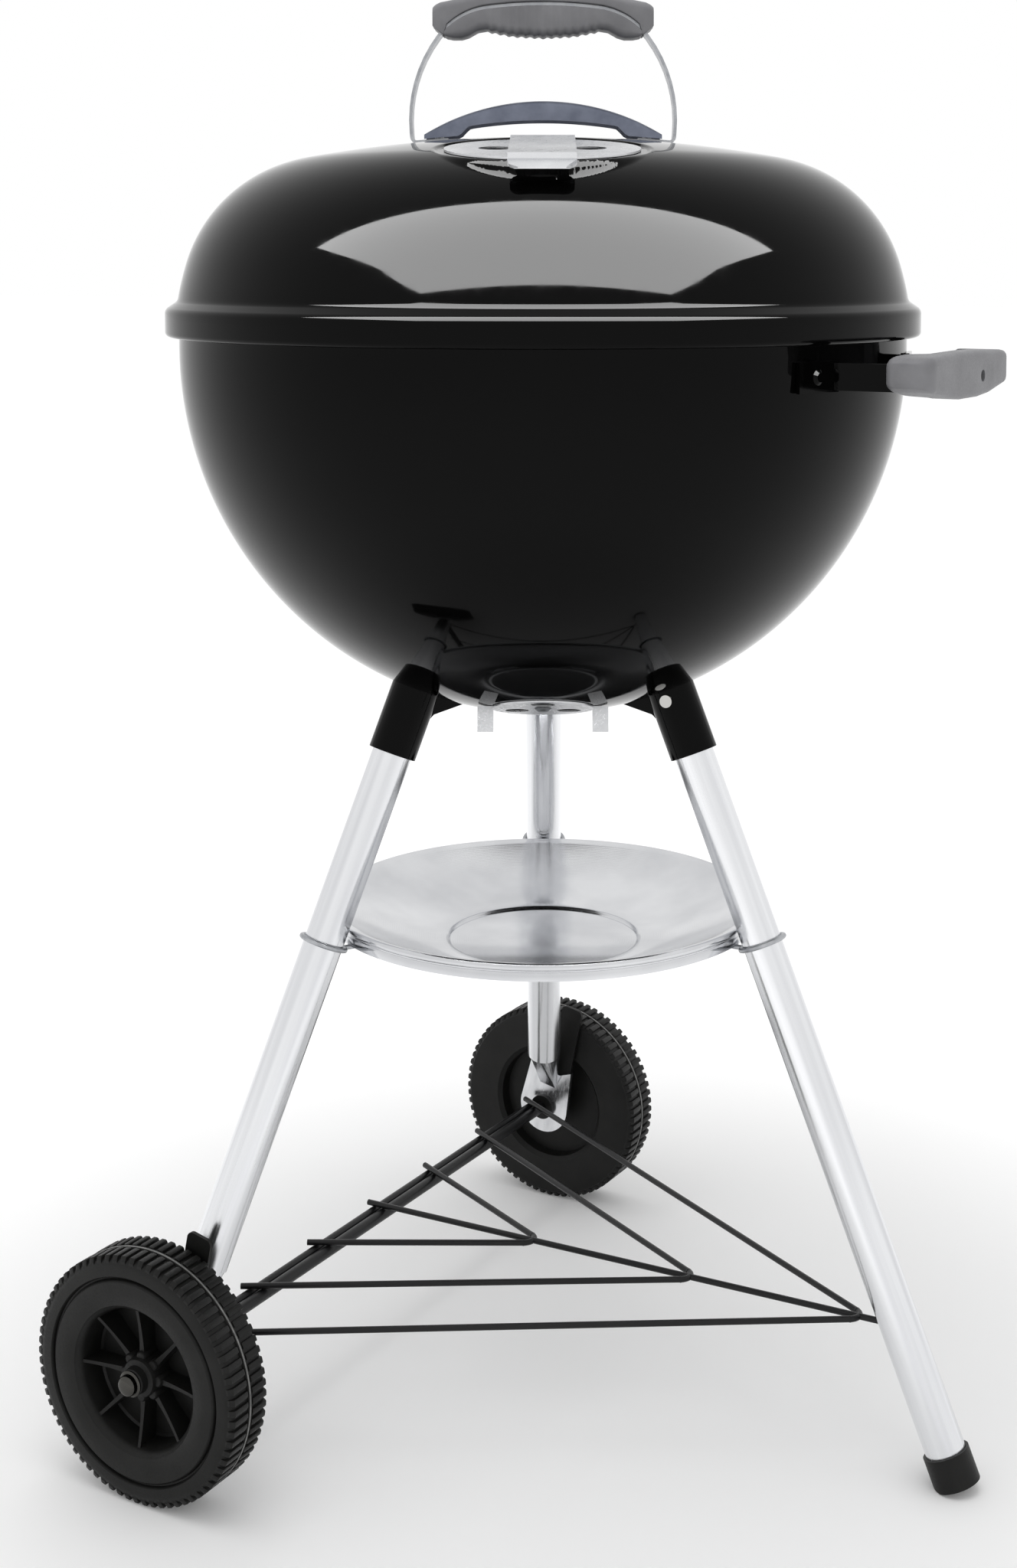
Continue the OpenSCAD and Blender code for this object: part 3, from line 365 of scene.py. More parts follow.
def spun_aluminium():
    # Spun sheet: satin rings round the middle, with a soft streaked glare across them.
    mat, tree, shader, where = finish_of("spun aluminium", "#d4d5d7", 0.16, 1.0)
    centre = add(tree, "ShaderNodeMapping", [("Vector", where)])
    centre.inputs["Location"].default_value = (-KETTLE_X / 1000, 0, 0)
    rings = add(
        tree, "ShaderNodeTexWave", [("Vector", centre.outputs[0])],
        wave_type="RINGS", rings_direction="Z", Scale=210.0, Distortion=1.6, Detail=3.0,
    )
    tint(tree, shader, noise(tree, where, 60, 3).outputs[0], "#c4c5c8", "#dadbdd")
    vary(tree, shader, rings.outputs["Fac"], 0.12, 0.2)
    relief(tree, shader, rings.outputs["Fac"], 0.015, 0.35)
    return mat


def rolled_aluminium():
    # Rolled sheet of the vent: flat and bright, with a brushed grain.
    mat, tree, shader, where = finish_of("rolled aluminium", "#dcdddf", 0.3, 1.0)
    lines = noise(tree, where, 1.2, 4, stretch=(1, 30, 1))
    vary(tree, shader, lines.outputs[0], 0.24, 0.4)
    tint(tree, shader, noise(tree, where, 25, 3).outputs[0], "#d4d5d7", "#e4e5e7")
    relief(tree, shader, lines.outputs[0], 0.02, 0.3)
    return mat


def zinc_plate():
    # Zinc plated wire and fixings: a slightly cloudy grey metal.
    mat, tree, shader, where = finish_of("zinc plated steel", "#a9abae", 0.34, 1.0)
    cloud = noise(tree, where, 7, 4)
    tint(tree, shader, cloud.outputs[0], "#97999d", "#b9bbbe")
    vary(tree, shader, cloud.outputs[0], 0.26, 0.44)
    relief(tree, shader, noise(tree, where, 1, 2).outputs[0], 0.02, 0.3)
    return mat


def nickel_plate():
    # Nickel plate: a warm, polished metal with small smears.
    mat, tree, shader, where = finish_of("nickel plated steel", "#c4c3c0", 0.14, 1.0)
    smear = noise(tree, where, 12, 4)
    vary(tree, shader, smear.outputs[0], 0.1, 0.22)
    relief(tree, shader, smear.outputs[0], 0.02, 0.2)
    return mat


def nickel_with_painted_dark_reflection():
    # Nickel plated push-on cap: its base colour is darkened as a painted dark reflection of its surroundings,
    # so that it only glints.
    mat, tree, shader, where = finish_of("blackened steel cap", "#474643", 0.18, 1.0)
    smear = noise(tree, where, 6, 3)
    vary(tree, shader, smear.outputs[0], 0.12, 0.26)
    relief(tree, shader, smear.outputs[0], 0.02, 0.2)
    return mat


def blued_steel():
    # Coated heat shield: dark metal with a cool sheen on its crown.
    mat, tree, shader, where = finish_of("blued steel", "#6e7382", 0.4, 0.85)
    cloud = noise(tree, where, 14, 3)
    tint(tree, shader, cloud.outputs[0], "#646977", "#7b808e")
    vary(tree, shader, cloud.outputs[0], 0.32, 0.46)
    relief(tree, shader, noise(tree, where, 1.5, 3).outputs[0], 0.03, 0.3)
    return mat


def scuffed_line(tree, shader, where, patchy):
    """Pales the plastic along the moulding line round each tread, in patches."""
    half_line, below_tread = 0.6, 1.2
    axes = add(tree, "ShaderNodeSeparateXYZ", [("Vector", where)])
    across = calc(tree, "ABSOLUTE", axes.outputs["Y"])
    line = calc(tree, "COMPARE", across, (WHEEL_IN + WHEEL_W / 2) / 1000, half_line / 1000)
    off = add(tree, "ShaderNodeVectorMath", [(0, where)], operation="SUBTRACT")
    off.inputs[1].default_value = (AXLE[0] / 1000, 0, AXLE[2] / 1000)
    flat = add(tree, "ShaderNodeVectorMath", [(0, off.outputs[0])], operation="MULTIPLY")
    flat.inputs[1].default_value = (1, 0, 1)
    away = add(tree, "ShaderNodeVectorMath", [(0, flat.outputs[0])], operation="LENGTH")
    tread = calc(tree, "GREATER_THAN", away.outputs["Value"], (WHEEL_R - below_tread) / 1000)
    worn = calc(tree, "MULTIPLY", calc(tree, "MULTIPLY", line, tread), patchy)
    coloured = shader.inputs["Base Color"].links[0].from_socket
    pale = add(tree, "ShaderNodeMix", data_type="RGBA")
    tree.links.new(worn, pale.inputs["Factor"])
    tree.links.new(coloured, pale.inputs[6])
    pale.inputs[7].default_value = linear("#9a9a98")
    tree.links.new(pale.outputs[2], shader.inputs["Base Color"])


def moulded_polypropylene():
    # Moulded wheel plastic: soft black, slightly greasy, with a faint texture.
    mat, tree, shader, where = finish_of("moulded polypropylene", "#131312", 0.46, ior=1.49)
    grain = noise(tree, where, 1.2, 4)
    shader.inputs["Specular IOR Level"].default_value = 0.22
    tint(tree, shader, noise(tree, where, 20, 4).outputs[0], "#10100f", "#181817")
    vary(tree, shader, grain.outputs[0], 0.38, 0.55)
    scuffed_line(tree, shader, where, noise(tree, where, 5, 3).outputs[0])
    relief(tree, shader, grain.outputs[0], 0.1, 0.45)
    return mat


def black_coating():
    # Coated wire: black, semi-gloss, slightly pebbled.
    mat, tree, shader, where = finish_of("black coated wire", "#101011", 0.34, ior=1.5)
    shader.inputs["Specular IOR Level"].default_value = 0.3
    pebble = noise(tree, where, 1.6, 3)
    vary(tree, shader, pebble.outputs[0], 0.28, 0.42)
    relief(tree, shader, pebble.outputs[0], 0.08, 0.5)
    return mat


ENAMEL = porcelain_enamel()
NYLON = glass_filled_nylon()
TUBE, TUBE_NEAR, TUBE_FAR = (drawn_aluminium(az) for az in (0, 240, 120))
SPUN = spun_aluminium()
ROLLED = rolled_aluminium()
ZINC = zinc_plate()
NICKEL = nickel_plate()
CAP = nickel_with_painted_dark_reflection()
BLUED = blued_steel()
POLY = moulded_polypropylene()
COATED = black_coating()

NODE_FINISH = {
    "bowl": ENAMEL, "leg_sockets": ENAMEL, "socket_buttons": NICKEL,
    "front_leg": TUBE, "left_leg": TUBE_NEAR, "right_leg": TUBE_FAR, "foot_cap": POLY,
    "axle": COATED, "axle_bushes": POLY, "axle_caps": NICKEL,
    "left_wheel": POLY, "right_wheel": POLY, "wire_rack": COATED, "rack_base_wire": COATED,
    "ash_pan": SPUN, "ash_pan_clips": ZINC,
    "side_bracket": ENAMEL, "side_grip": NYLON, "side_bracket_rivets": ENAMEL, "side_grip_screw": COATED,
    "cook_grate_tabs": ENAMEL, "coal_grate_tabs": ENAMEL, "coal_grate": ZINC, "cook_grate": NICKEL,
    "front_damper": ROLLED, "rear_damper": ROLLED, "side_damper": ROLLED, "damper_rivets": ZINC,
    "lid": ENAMEL, "lid_slide": ROLLED, "lid_slide_bridge": ROLLED, "lid_slide_rivet": ZINC,
    "lid_strap": ZINC, "lid_grip_top": NYLON, "lid_grip_bottom": NYLON, "lid_heat_shield": BLUED,
    "lid_bolts": ZINC,
}
for node, mat in NODE_FINISH.items():
    frame["nodes"][node].data.materials.clear()
    frame["nodes"][node].data.materials.append(mat)


def dress(obj, mat, body, slot, *nodes):
    """Gives a piece its finish and its body, and hides the solids that it stands for."""
    obj.data.materials.clear()
    obj.data.materials.append(mat)
    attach(obj, body)
    if nodes:
        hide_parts(*nodes)


# ------------------------------------------------------------------ kettle
def bowed(start, a, end, b, n):
    """Points of a gentle bend that leaves start at a degrees under level and meets end at b."""
    da = Vector((math.cos(math.radians(a)), -math.sin(math.radians(a))))
    db = Vector((math.cos(math.radians(b)), -math.sin(math.radians(b))))
    gap = end - start
    reach = (gap.x * db.y - gap.y * db.x) / (da.x * db.y - da.y * db.x)
    knee = start + da * reach
    shares = [k / n for k in range(n + 1)]
    return [tuple(start * (1 - f) ** 2 + knee * 2 * f * (1 - f) + end * f * f) for f in shares]


def lid_line(t):
    """The lid's side view, t inside its outer face, from the crown to the hem."""
    side = Vector((-math.cos(SIDE_A), math.sin(SIDE_A)))
    side_out = Vector((math.sin(SIDE_A), math.cos(SIDE_A)))
    shoulder_out = Vector((math.sin(SHOULDER_A), math.cos(SHOULDER_A)))
    base = Vector((LID_BASE_R, LID_BASE_Z))
    top = base + side * SIDE_H / math.sin(SIDE_A)
    centre = top - side_out * CORNER_R
    dz = centre.y - LID_TOP
    crown = (CORNER_R**2 - centre.x**2 - dz**2) / (2 * (dz + CORNER_R))
    join = math.degrees(math.asin(centre.x / (crown - CORNER_R)))
    knee = base - t * (side_out + shoulder_out) / (1 + side_out.dot(shoulder_out))
    lip_drop = (LIP_R + (LID_R - LIP_R - LID_BASE_R) * math.sin(SHOULDER_A)) / math.cos(SHOULDER_A)
    line = arc(0, LID_TOP - crown, crown - t, 0, join, 34)
    line += arc(centre.x, centre.y, CORNER_R - t, join, BOW_FROM, 30)[1:]
    fold_up, fold_out = 2.2, 1.6  # how far the fold at the dome's foot reaches from its knee
    above = knee + side * fold_up
    line += bowed(Vector(line[-1]), BOW_FROM, above, BOW_TO, 10)[1:-1]
    below = knee + Vector((math.cos(SHOULDER_A), -math.sin(SHOULDER_A))) * fold_out
    for k in range(5):
        f = k / 4
        p = above * (1 - f) ** 2 + knee * 2 * f * (1 - f) + below * f * f
        line.append((p.x, p.y))
    line += arc(LID_R - LIP_R, LID_BASE_Z - lip_drop, LIP_R - t, math.degrees(SHOULDER_A), 90, 7)
    line.append((LID_R - t, HEM_Z))
    return line


def shape_seats(obj, seats, height):
    """Presses flat vent seats into a turned shell. seats is a list of (frame, radius, edge width).

    height gives a point's wall (0 outer, 1 inner) and its exact place on that wall, or None.
    """
    fine_band, fine_depth = 7, 26  # round the step's middle, where the mesh is made finer
    margin, depth = 12, 30  # how far out and how deep a seat may move points
    snap = 1.5  # how far off the step's slope points still move to its rings
    bm = bmesh.new()
    bm.from_mesh(obj.data)
    for place, radius, edge in seats:
        inv = place.inverted()

        def at(v):
            return inv @ (v.co * 1000)

        near = []
        for e in bm.edges:
            ps = [at(v) for v in e.verts]
            off = [abs(math.hypot(p.x, p.y) - radius - edge / 2) for p in ps]
            if all(abs(p.z) < fine_depth for p in ps) and max(off) < fine_band:
                near.append(e)
        bmesh.ops.subdivide_edges(bm, edges=near, cuts=3, use_grid_fill=True)
        for v in bm.verts:
            p = at(v)
            rho = math.hypot(p.x, p.y)
            if rho > radius + margin or abs(p.z) > depth:
                continue
            if -snap < rho - radius < edge + snap and height(v.co * 1000) is not None:
                # Points on the step's slope move to its rings, so that its shading has no teeth.
                ring = radius + round((rho - radius) / edge * 4) * edge / 4
                p.x, p.y = p.x * ring / rho, p.y * ring / rho
                v.co = (place @ p) / 1000
                rho = ring
            wall = height(v.co * 1000)
            if wall is None:
                continue
            side, exact = wall
            v.co = exact / 1000
            p = at(v)
            f = smoothstep((rho - radius) / edge)
            p.z = p.z * f - SHEET * side * (1 - f)
            v.co = (place @ p) / 1000
    bmesh.ops.recalc_face_normals(bm, faces=bm.faces)
    bm.to_mesh(obj.data)
    bm.free()
    obj.data.shade_smooth()
    obj.data.set_sharp_from_angle(angle=math.radians(50))


def on_lines(outer, inner):
    """Makes the function that says which wall of a shell a point is on, and where on it exactly."""

    def find(p):
        r = math.hypot(p.x - KETTLE_X, p.y)
        za, zb = mix(outer, r), mix(inner, r)
        side = 0 if abs(p.z - za) <= abs(p.z - zb) else 1
        return side, Vector((p.x, p.y, zb if side else za))

    return find


def tubes_at(place, spots, r, depth=12, steps=40):
    """Short round plugs for drilling holes square to a vent's seat."""
    side_view = [(0, -depth), (r, -depth), (r, depth), (0, depth)]
    return joined([
        lathe(side_view, steps, place @ Matrix.Translation((x, y, 0)), closed=False) for x, y in spots
    ])


def ring_spots(r, angles):
    """Places on a circle."""
    return [(r * math.cos(math.radians(a)), r * math.sin(math.radians(a))) for a in angles]


VENT = local(VENT_AZ, VENT_AT, VENT_Z, math.radians(VENT_A))


def make_lid():
    """The domed lid with its rolled hem, its vent's seat and the four holes in it."""
    outer, inner = lid_line(0), lid_line(SHEET)
    roll = arc(LID_R - HEM_R, HEM_Z, HEM_R, 90, 330, 14)[1:]
    outline = outer + roll + [(LID_R - SHEET, HEM_Z + 2.2)] + list(reversed(inner[:-1]))
    verts, faces = lathe(outline, 256, KETTLE, closed=False)
    lid = new_piece("lid_shell", verts, faces, angle=50)
    dome_out = [p for p in outer if p[1] > DOME_FOOT]
    dome_in = [p for p in inner if p[1] > DOME_FOOT]
    find = on_lines(dome_out + [(LID_BASE_R, LID_BASE_Z)], dome_in + [(LID_BASE_R - SHEET, LID_BASE_Z)])
    shape_seats(lid, [(VENT, SEAT_R, SEAT_EDGE)], lambda p: find(p) if p.z > DOME_FOOT + 3 else None)
    cut(lid, *tubes_at(VENT, ring_spots(LID_HOLE_AT, (0, 90, 180, 270)), LID_HOLE_R))
    return lid


def bowl_line(t):
    """The bowl's side view, t inside its outer face, from its bottom up."""
    n = 56
    r, depth = BOWL_R - t, BOWL_DEPTH - t
    turns = [math.radians(90 * i / n) for i in range(n + 1)]
    return [(r * math.sin(a), BOWL_Z - depth * math.cos(a)) for a in turns]


def make_bowl():
    """The bowl with its beaded rim, the dampers' seats and the three holes in each."""
    outer, inner = bowl_line(0), bowl_line(SHEET)
    bead = (BOWL_R - BEAD_R + 1.2, RIM_H - BEAD_R)
    roll = list(reversed(arc(bead[0], bead[1], BEAD_R, -110, 115, 16)))
    under_bead = bead[1] - 2.2
    outline = outer + [(BOWL_R, under_bead)] + roll + [(BOWL_R - SHEET, under_bead)] + list(reversed(inner))
    verts, faces = lathe(outline, 256, KETTLE, closed=False)
    bowl = new_piece("bowl_shell", verts, faces, angle=50)
    slope = math.atan(BOWL_DEPTH * DAMPER_AT / (BOWL_R * math.sqrt(BOWL_R**2 - DAMPER_AT**2)))
    z = BOWL_Z - BOWL_DEPTH * math.sqrt(1 - (DAMPER_AT / BOWL_R) ** 2)
    places = [
        local(az, DAMPER_AT, z, math.pi - slope) @ Matrix.Translation((0, 0, -DAMPER_SEAT_RISE))
        for az in DAMPER_AZ
    ]
    find = on_lines(outer, inner)
    seats = [(p, DAMPER_SEAT_R, DAMPER_SEAT_EDGE) for p in places]
    shape_seats(bowl, seats, lambda p: find(p) if p.z < DAMPERS_UNDER else None)
    spots = ring_spots(DAMPER_HOLE_AT, (60, 180, 300))
    cut(bowl, *joined([tubes_at(p, spots, DAMPER_HOLE_R, 8, 32) for p in places]))
    return bowl


def make_bridge():
    """The bent strip over the vent's slide: a foot, a level span, a front wall and a finger lip."""
    thick, half, corner = 1.4, 19.5, 6.0
    back, front, tip = 48.0, 63.0, 73.0
    low = 1.5
    top = low + 2.2 + thick
    upper = [(-back - 8, low + thick), (-back, low + thick), (-back + 1.6, top - 0.3), (-back + 2.3, top)]
    upper += [(front - 1, top), (front - 0.4, top - 0.15), (front - 0.1, top - 0.5), (front, top - 0.9)]
    upper += [(front, 2.1), (front + 0.2, 1.7), (front + 0.6, 1.5), (tip - 0.5, -1.75), (tip, -2.1)]
    lower = [(tip, -3.1), (tip - 0.4, -3.2), (front - 0.6, 0.35), (front - 1.3, 0.8), (front - 1.5, 1.5)]
    lower += [(front - 1.5, top - thick - 0.3), (front - 2, top - thick), (-back + 3, top - thick)]
    lower += [(-back + 1.4, low), (-back - 8, low)]
    outline = upper + lower

    def wide(x):
        """Half the strip's width, less where the lip's corners are rounded."""
        past = x - (tip - corner)
        return half if past <= 0 else half - corner + math.sqrt(max(corner**2 - past**2, 0))

    fine = []
    for a, b in zip(outline, outline[1:] + outline[:1]):
        n = 12 if max(a[0], b[0]) > tip - corner and abs(a[0] - b[0]) > 3 else 1
        fine += [(a[0] + (b[0] - a[0]) * k / n, a[1] + (b[1] - a[1]) * k / n) for k in range(n)]
    verts = []
    for f in (-1, -0.985, 0.985, 1):
        for x, z in fine:
            lift = 0.25 if abs(f) == 1 and z < 1.0 and x > front else 0
            verts.append(tuple(VENT @ Vector((x, f * wide(x), z + lift))))
    n = len(fine)
    faces = [tuple(range(n)), tuple(range(3 * n, 4 * n))[::-1]]
    for a, b in ((0, n), (n, 2 * n), (2 * n, 3 * n)):
        faces += [(a + k, a + (k + 1) % n, b + (k + 1) % n, b + k) for k in range(n)]
    return new_piece("vent_bridge", verts, faces, angle=35)


dress(make_lid(), ENAMEL, "lid", "enamel", "lid")
dress(make_bridge(), ROLLED, "lid_slide", "aluminium", "lid_slide_bridge")
dress(make_bowl(), ENAMEL, "frame", "enamel", "bowl")


# ------------------------------------------------------------------ ash pan
def make_pan():
    """The spun ash pan: a flat middle, a raised ring, a curved wall, a rolled rim and a grooved skirt."""
    lo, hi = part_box("ash_pan")
    r = (hi.x - lo.x) * 500
    top = hi.z * 1000 - 0.6
    depth, step, edge = 29.0, 65.0, 10.0
    floor = top - depth
    wall_in, wall_out = step + 6, r - 4.8

    def wall(u, d):
        """A point of the curved wall, u of the way out and d under its upper face."""
        return (wall_in + (wall_out - wall_in) * u, floor + 3 + (depth - 3) * u**1.5 - d)

    upper = [(0, floor), (step - 3.2, floor), (step - 2.2, floor + 0.5)]
    upper += [(step - 0.8, floor + 2.1), (step + 1, floor + 2.7)]
    upper += [wall(k / 26, 0) for k in range(27)]
    lip = arc(wall_out + 2.4, top - 1.9, 2.4, -40, 90, 9)
    skirt = [(r, top - 3.0), (r - 0.3, top - 3.5), (r - 0.8, top - 3.9)]
    skirt += [(r - 0.8, top - 4.6), (r - 0.3, top - 5.0), (r, top - 5.6)]
    skirt += [(r, top - edge), (r - 0.6, top - edge - 0.2), (r - SHEET, top - edge)]
    skirt += [(r - SHEET, top - 6), (r - 2, top - 4.8), (r - 2, top - 3.6)]
    under = [(r - SHEET, top - 2.4), (wall_out + 2.2, top - 0.8)]
    under += [wall(k / 26, SHEET) for k in range(26, -1, -1)]
    under += [(step + 1, floor + 1.5), (step - 0.6, floor + 0.9)]
    under += [(step - 2.6, floor - 1.0), (0, floor - SHEET)]
    verts, faces = lathe(upper + lip + skirt + under, 192, KETTLE, closed=False)
    return new_piece("ash_catcher", verts, faces, angle=50)


dress(make_pan(), SPUN, "frame", "aluminium", "ash_pan")


# ------------------------------------------------------------------ wheels
def ring_tree():
    """Repeats an object round the Y axis: Count copies of Part, joined to the piece itself."""
    tree = bpy.data.node_groups.new("round the axle", "GeometryNodeTree")
    face = tree.interface
    face.new_socket("Geometry", in_out="OUTPUT", socket_type="NodeSocketGeometry")
    face.new_socket("Geometry", in_out="INPUT", socket_type="NodeSocketGeometry")
    face.new_socket("Part", in_out="INPUT", socket_type="NodeSocketObject")
    face.new_socket("Count", in_out="INPUT", socket_type="NodeSocketInt")
    face.new_socket("Centre", in_out="INPUT", socket_type="NodeSocketVector")
    given = add(tree, "NodeGroupInput")
    points = add(tree, "GeometryNodePoints", [("Count", given.outputs["Count"])])
    index = add(tree, "GeometryNodeInputIndex")
    share = calc(tree, "DIVIDE", index.outputs[0], given.outputs["Count"])
    angle = add(tree, "ShaderNodeCombineXYZ", [("Y", calc(tree, "MULTIPLY", share, 2 * math.pi))])
    part = add(tree, "GeometryNodeObjectInfo", [("Object", given.outputs["Part"])])
    copies = add(tree, "GeometryNodeInstanceOnPoints", [
        ("Points", points.outputs[0]), ("Instance", part.outputs["Geometry"]), ("Rotation", angle.outputs[0]),
    ])
    moved = add(tree, "GeometryNodeTransform", [
        ("Geometry", copies.outputs[0]), ("Translation", given.outputs["Centre"]),
    ])
    real = add(tree, "GeometryNodeRealizeInstances", [("Geometry", moved.outputs[0])])
    both = add(tree, "GeometryNodeJoinGeometry")
    tree.links.new(given.outputs["Geometry"], both.inputs[0])
    tree.links.new(real.outputs[0], both.inputs[0])
    add(tree, "NodeGroupOutput", [(0, both.outputs[0])])
    return tree, {s.name: s.identifier for s in face.items_tree if s.in_out == "INPUT"}


RING, RING_INPUTS = ring_tree()


def repeat_round(obj, part, count):
    """Adds count copies of part, which is made round the Y axis, to a wheel."""
    mod = obj.modifiers.new("repeat", "NODES")
    mod.node_group = RING
    mod[RING_INPUTS["Part"]] = part
    mod[RING_INPUTS["Count"]] = count
    mod[RING_INPUTS["Centre"]] = tuple(c / 1000 for c in AXLE)
    bake(obj)
    bpy.data.objects.remove(part)


def make_wheel(name, side):
    """A moulded wheel: a turned body, two rows of tread lugs, ribs in its dish and a lobed hub."""
    r, w, inner = WHEEL_R, WHEEL_W, WHEEL_IN
    dish = 0.56 * r
    body = [
        (AXLE_BORE_R, 0), (13, 0), (13, 12), (dish, 12), (dish + 1, 4), (dish + 4, 1),
        (r - 17, 1), (r - 8, 0.8), (r - 4.4, 1.2), (r - 2.4, 3), (r - 1.9, 5),
        (r - 1.9, w * 0.45), (r - 0.6, w * 0.465), (r - 0.5, w * 0.535), (r - 1.9, w * 0.55),
        (r - 1.9, w - 5), (r - 2.4, w - 3.4), (r - 4, w - 1.8), (r - 7, w - 0.9),
        (0.84 * r, w - 0.6), (0.832 * r, w - 1.4), (0.825 * r, w - 3.2), (0.812 * r, w - 3.4),
        (0.805 * r, w - 1.7), (0.79 * r, w - 0.7), (0.72 * r, w - 0.1), (0.65 * r, w - 0.5),
        (0.605 * r, w - 1.6), (0.59 * r, w - 3), (0.575 * r, w - 4), (dish, w - 7),
        (dish - 1.5, 16), (dish - 3, 15), (13, 15), (12.4, w - 9), (11.4, w - 6.5),
        (8.6, w - 5.6), (8.0, w - 1.2), (7.2, w - 0.4), (AXLE_BORE_R, w - 0.4),
    ]
    flip_y = Matrix.Diagonal((1, side, 1, 1))
    place = Matrix.Translation(AXLE) @ flip_y @ Matrix.Translation((0, inner, 0)) @ FROM_UP_TO_Y
    verts, faces = lathe(body, 144, place)
    wheel = new_piece(name, verts, faces, angle=32)

    def lug(y0, y1, end_in):
        """A tread lug from y0 to y1, lower at its outer end."""
        first, last = (r - 3.2, r - 0.5) if end_in else (r - 0.5, r - 3.2)
        full = r - 0.1
        rings = []
        for y, top, half in ((y0, first, 1.7), (y0 + 1.6, full, 1.9), (y1 - 1.6, full, 1.9), (y1, last, 1.7)):
            at = side * (inner + y)
            rings.append([
                (-half - 0.5, at, r - 6), (half + 0.5, at, r - 6), (half, at, top - 0.3),
                (half - 0.7, at, top), (-half + 0.7, at, top), (-half, at, top - 0.3),
            ])
        return loft(rings)

    lugs = new_piece("lug", *joined([lug(1.8, w * 0.44, True), lug(w * 0.56, w - 1.6, False)]), angle=25)
    repeat_round(wheel, lugs, LUGS)

    def rib():
        """A rib of the dish, which flares toward the hub."""
        hub = 10.5
        low = side * (inner + 14.5)
        rings = []
        for k in range(7):
            f = k / 6
            rad = hub + (dish + 1 - hub) * f
            high = side * (inner + w - 10.5 + 4.5 * f * f)
            half = 1.3 + 1.5 * (1 - f) ** 3
            slim = half * 0.8
            rings.append([(-half, low, rad), (half, low, rad), (slim, high, rad), (-slim, high, rad)])
        return loft(rings)

    repeat_round(wheel, new_piece("rib", *rib(), angle=25), RIBS)
    lobe_place = flip_y @ Matrix.Translation((0, inner + 15, 12.4)) @ FROM_UP_TO_Y
    lobe_line = [(0, 0), (3.4, 0), (3.4, w - 24.6), (2.6, w - 23.6), (0, w - 23.4)]
    lobe = lathe(lobe_line, 20, lobe_place, closed=False)
    repeat_round(wheel, new_piece("lobe", *lobe), RIBS)
    return wheel


dress(make_wheel("wheel_near", -1), POLY, "left_wheel", "moulded", "left_wheel")
dress(make_wheel("wheel_far", 1), POLY, "right_wheel", "moulded", "right_wheel")


def make_cap_nuts():
    """Pressed caps on the axle's ends, each with a domed top and a rim."""
    _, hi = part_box("axle_caps")
    height = 6.2
    shape = [
        (AXLE_BORE_R, 0), (8, 0), (8, 0.8), (7.4, 1.2), (6.6, 1.5), (6.4, 2.2), (6.4, 3.6),
        (6.1, 4.6), (5.2, 5.4), (3.6, 5.95), (1.8, 6.15), (0, height), (0, 3.2), (AXLE_BORE_R, 3.2),
    ]
    parts = []
    for side in (-1, 1):
        out = Matrix.Translation((0, hi.y * 1000 - height, 0))
        place = Matrix.Translation(AXLE) @ Matrix.Diagonal((1, side, 1, 1)) @ out @ FROM_UP_TO_Y
        parts.append(lathe(shape, 48, place))
    return new_piece("axle_end_caps", *joined(parts), angle=35)


# The axle's end caps: nickel whose dark base colour is a painted dark reflection.
dress(make_cap_nuts(), CAP, "frame", "plating", "axle_caps")


# ------------------------------------------------------------------ lid handle
HANDLE = KETTLE @ Matrix.Rotation(math.radians(VENT_AZ + 90), 4, "Z")
STRAP_TOP = LID_TOP + 85.4
GRIP_TOP = STRAP_TOP + 7.3


def strap_z(s):
    """Height of the strap's middle over the grip, from the arcs it is bent to: (radius, degrees)."""
    x, z, head = 0.0, STRAP_TOP, 0.0
    last = (x, z)
    for radius, turn in ((282, 7.3), (47, 45.7), (89.4, 42)):
        for _ in range(40):
            a = turn / 40
            h0, h1 = math.radians(head), math.radians(head - a)
            x, z = x - radius * (math.sin(h1) - math.sin(h0)), z - radius * (math.cos(h0) - math.cos(h1))
            head -= a
            if x >= s:
                f = (s - last[0]) / max(1e-6, x - last[0])
                return last[1] + (z - last[1]) * f
            last = (x, z)
    return z


# The grip's outline, seen square to it: (distance from its middle, height).
GRIP_UPPER = [
    (0, GRIP_TOP), (20, GRIP_TOP - 0.6), (40, GRIP_TOP - 2.2), (55, GRIP_TOP - 4.2), (66, GRIP_TOP - 6.4),
    (69.5, GRIP_TOP - 8), (71, GRIP_TOP - 9.6),
]
GRIP_LOWER = [
    (0, GRIP_TOP - 28), (20, GRIP_TOP - 26.9), (36, GRIP_TOP - 24), (42, GRIP_TOP - 25),
    (48, GRIP_TOP - 28.4), (52.5, GRIP_TOP - 29.7), (58, GRIP_TOP - 29.6), (62.4, GRIP_TOP - 28.6),
    (66.5, GRIP_TOP - 25.4), (71, GRIP_TOP - 22),
]


def grip_rings(stations, low, high, depth, r_low, r_high):
    """Rounded cross sections along the handle, from low to high and depth to either side."""
    rings = []
    for s in stations:
        d = depth(s)
        z0, z1 = low(s), high(s)
        rl = min(r_low, (z1 - z0) * 0.45)
        rh = min(r_high, (z1 - z0) * 0.45)
        rings.append([tuple(HANDLE @ Vector((s, a, b))) for a, b in rounded(-d, d, z0, z1, rl, rh)])
    return rings


def make_grip_top():
    """The upper half of the handle's grip, which closes over the strap."""
    stations = [-71, -70.6, -69.8, -68.5] + [-66 + 132 * k / 66 for k in range(67)] + [68.5, 69.8, 70.6, 71]

    def low(s):
        a = abs(s)
        if a < 64.0:
            return max(strap_z(a) + 1.3, mix(GRIP_LOWER, a) + 1)
        return mix(GRIP_LOWER, a) + (0.6 if a > 70 else 0)

    def depth(s):
        return 13 - 1.6 * smoothstep((abs(s) - 67) / 4)

    rings = grip_rings(stations, low, lambda s: mix(GRIP_UPPER, abs(s)), depth, 0.7, 4.6)
    return new_piece("lid_grip_cover", *loft(rings), angle=50)


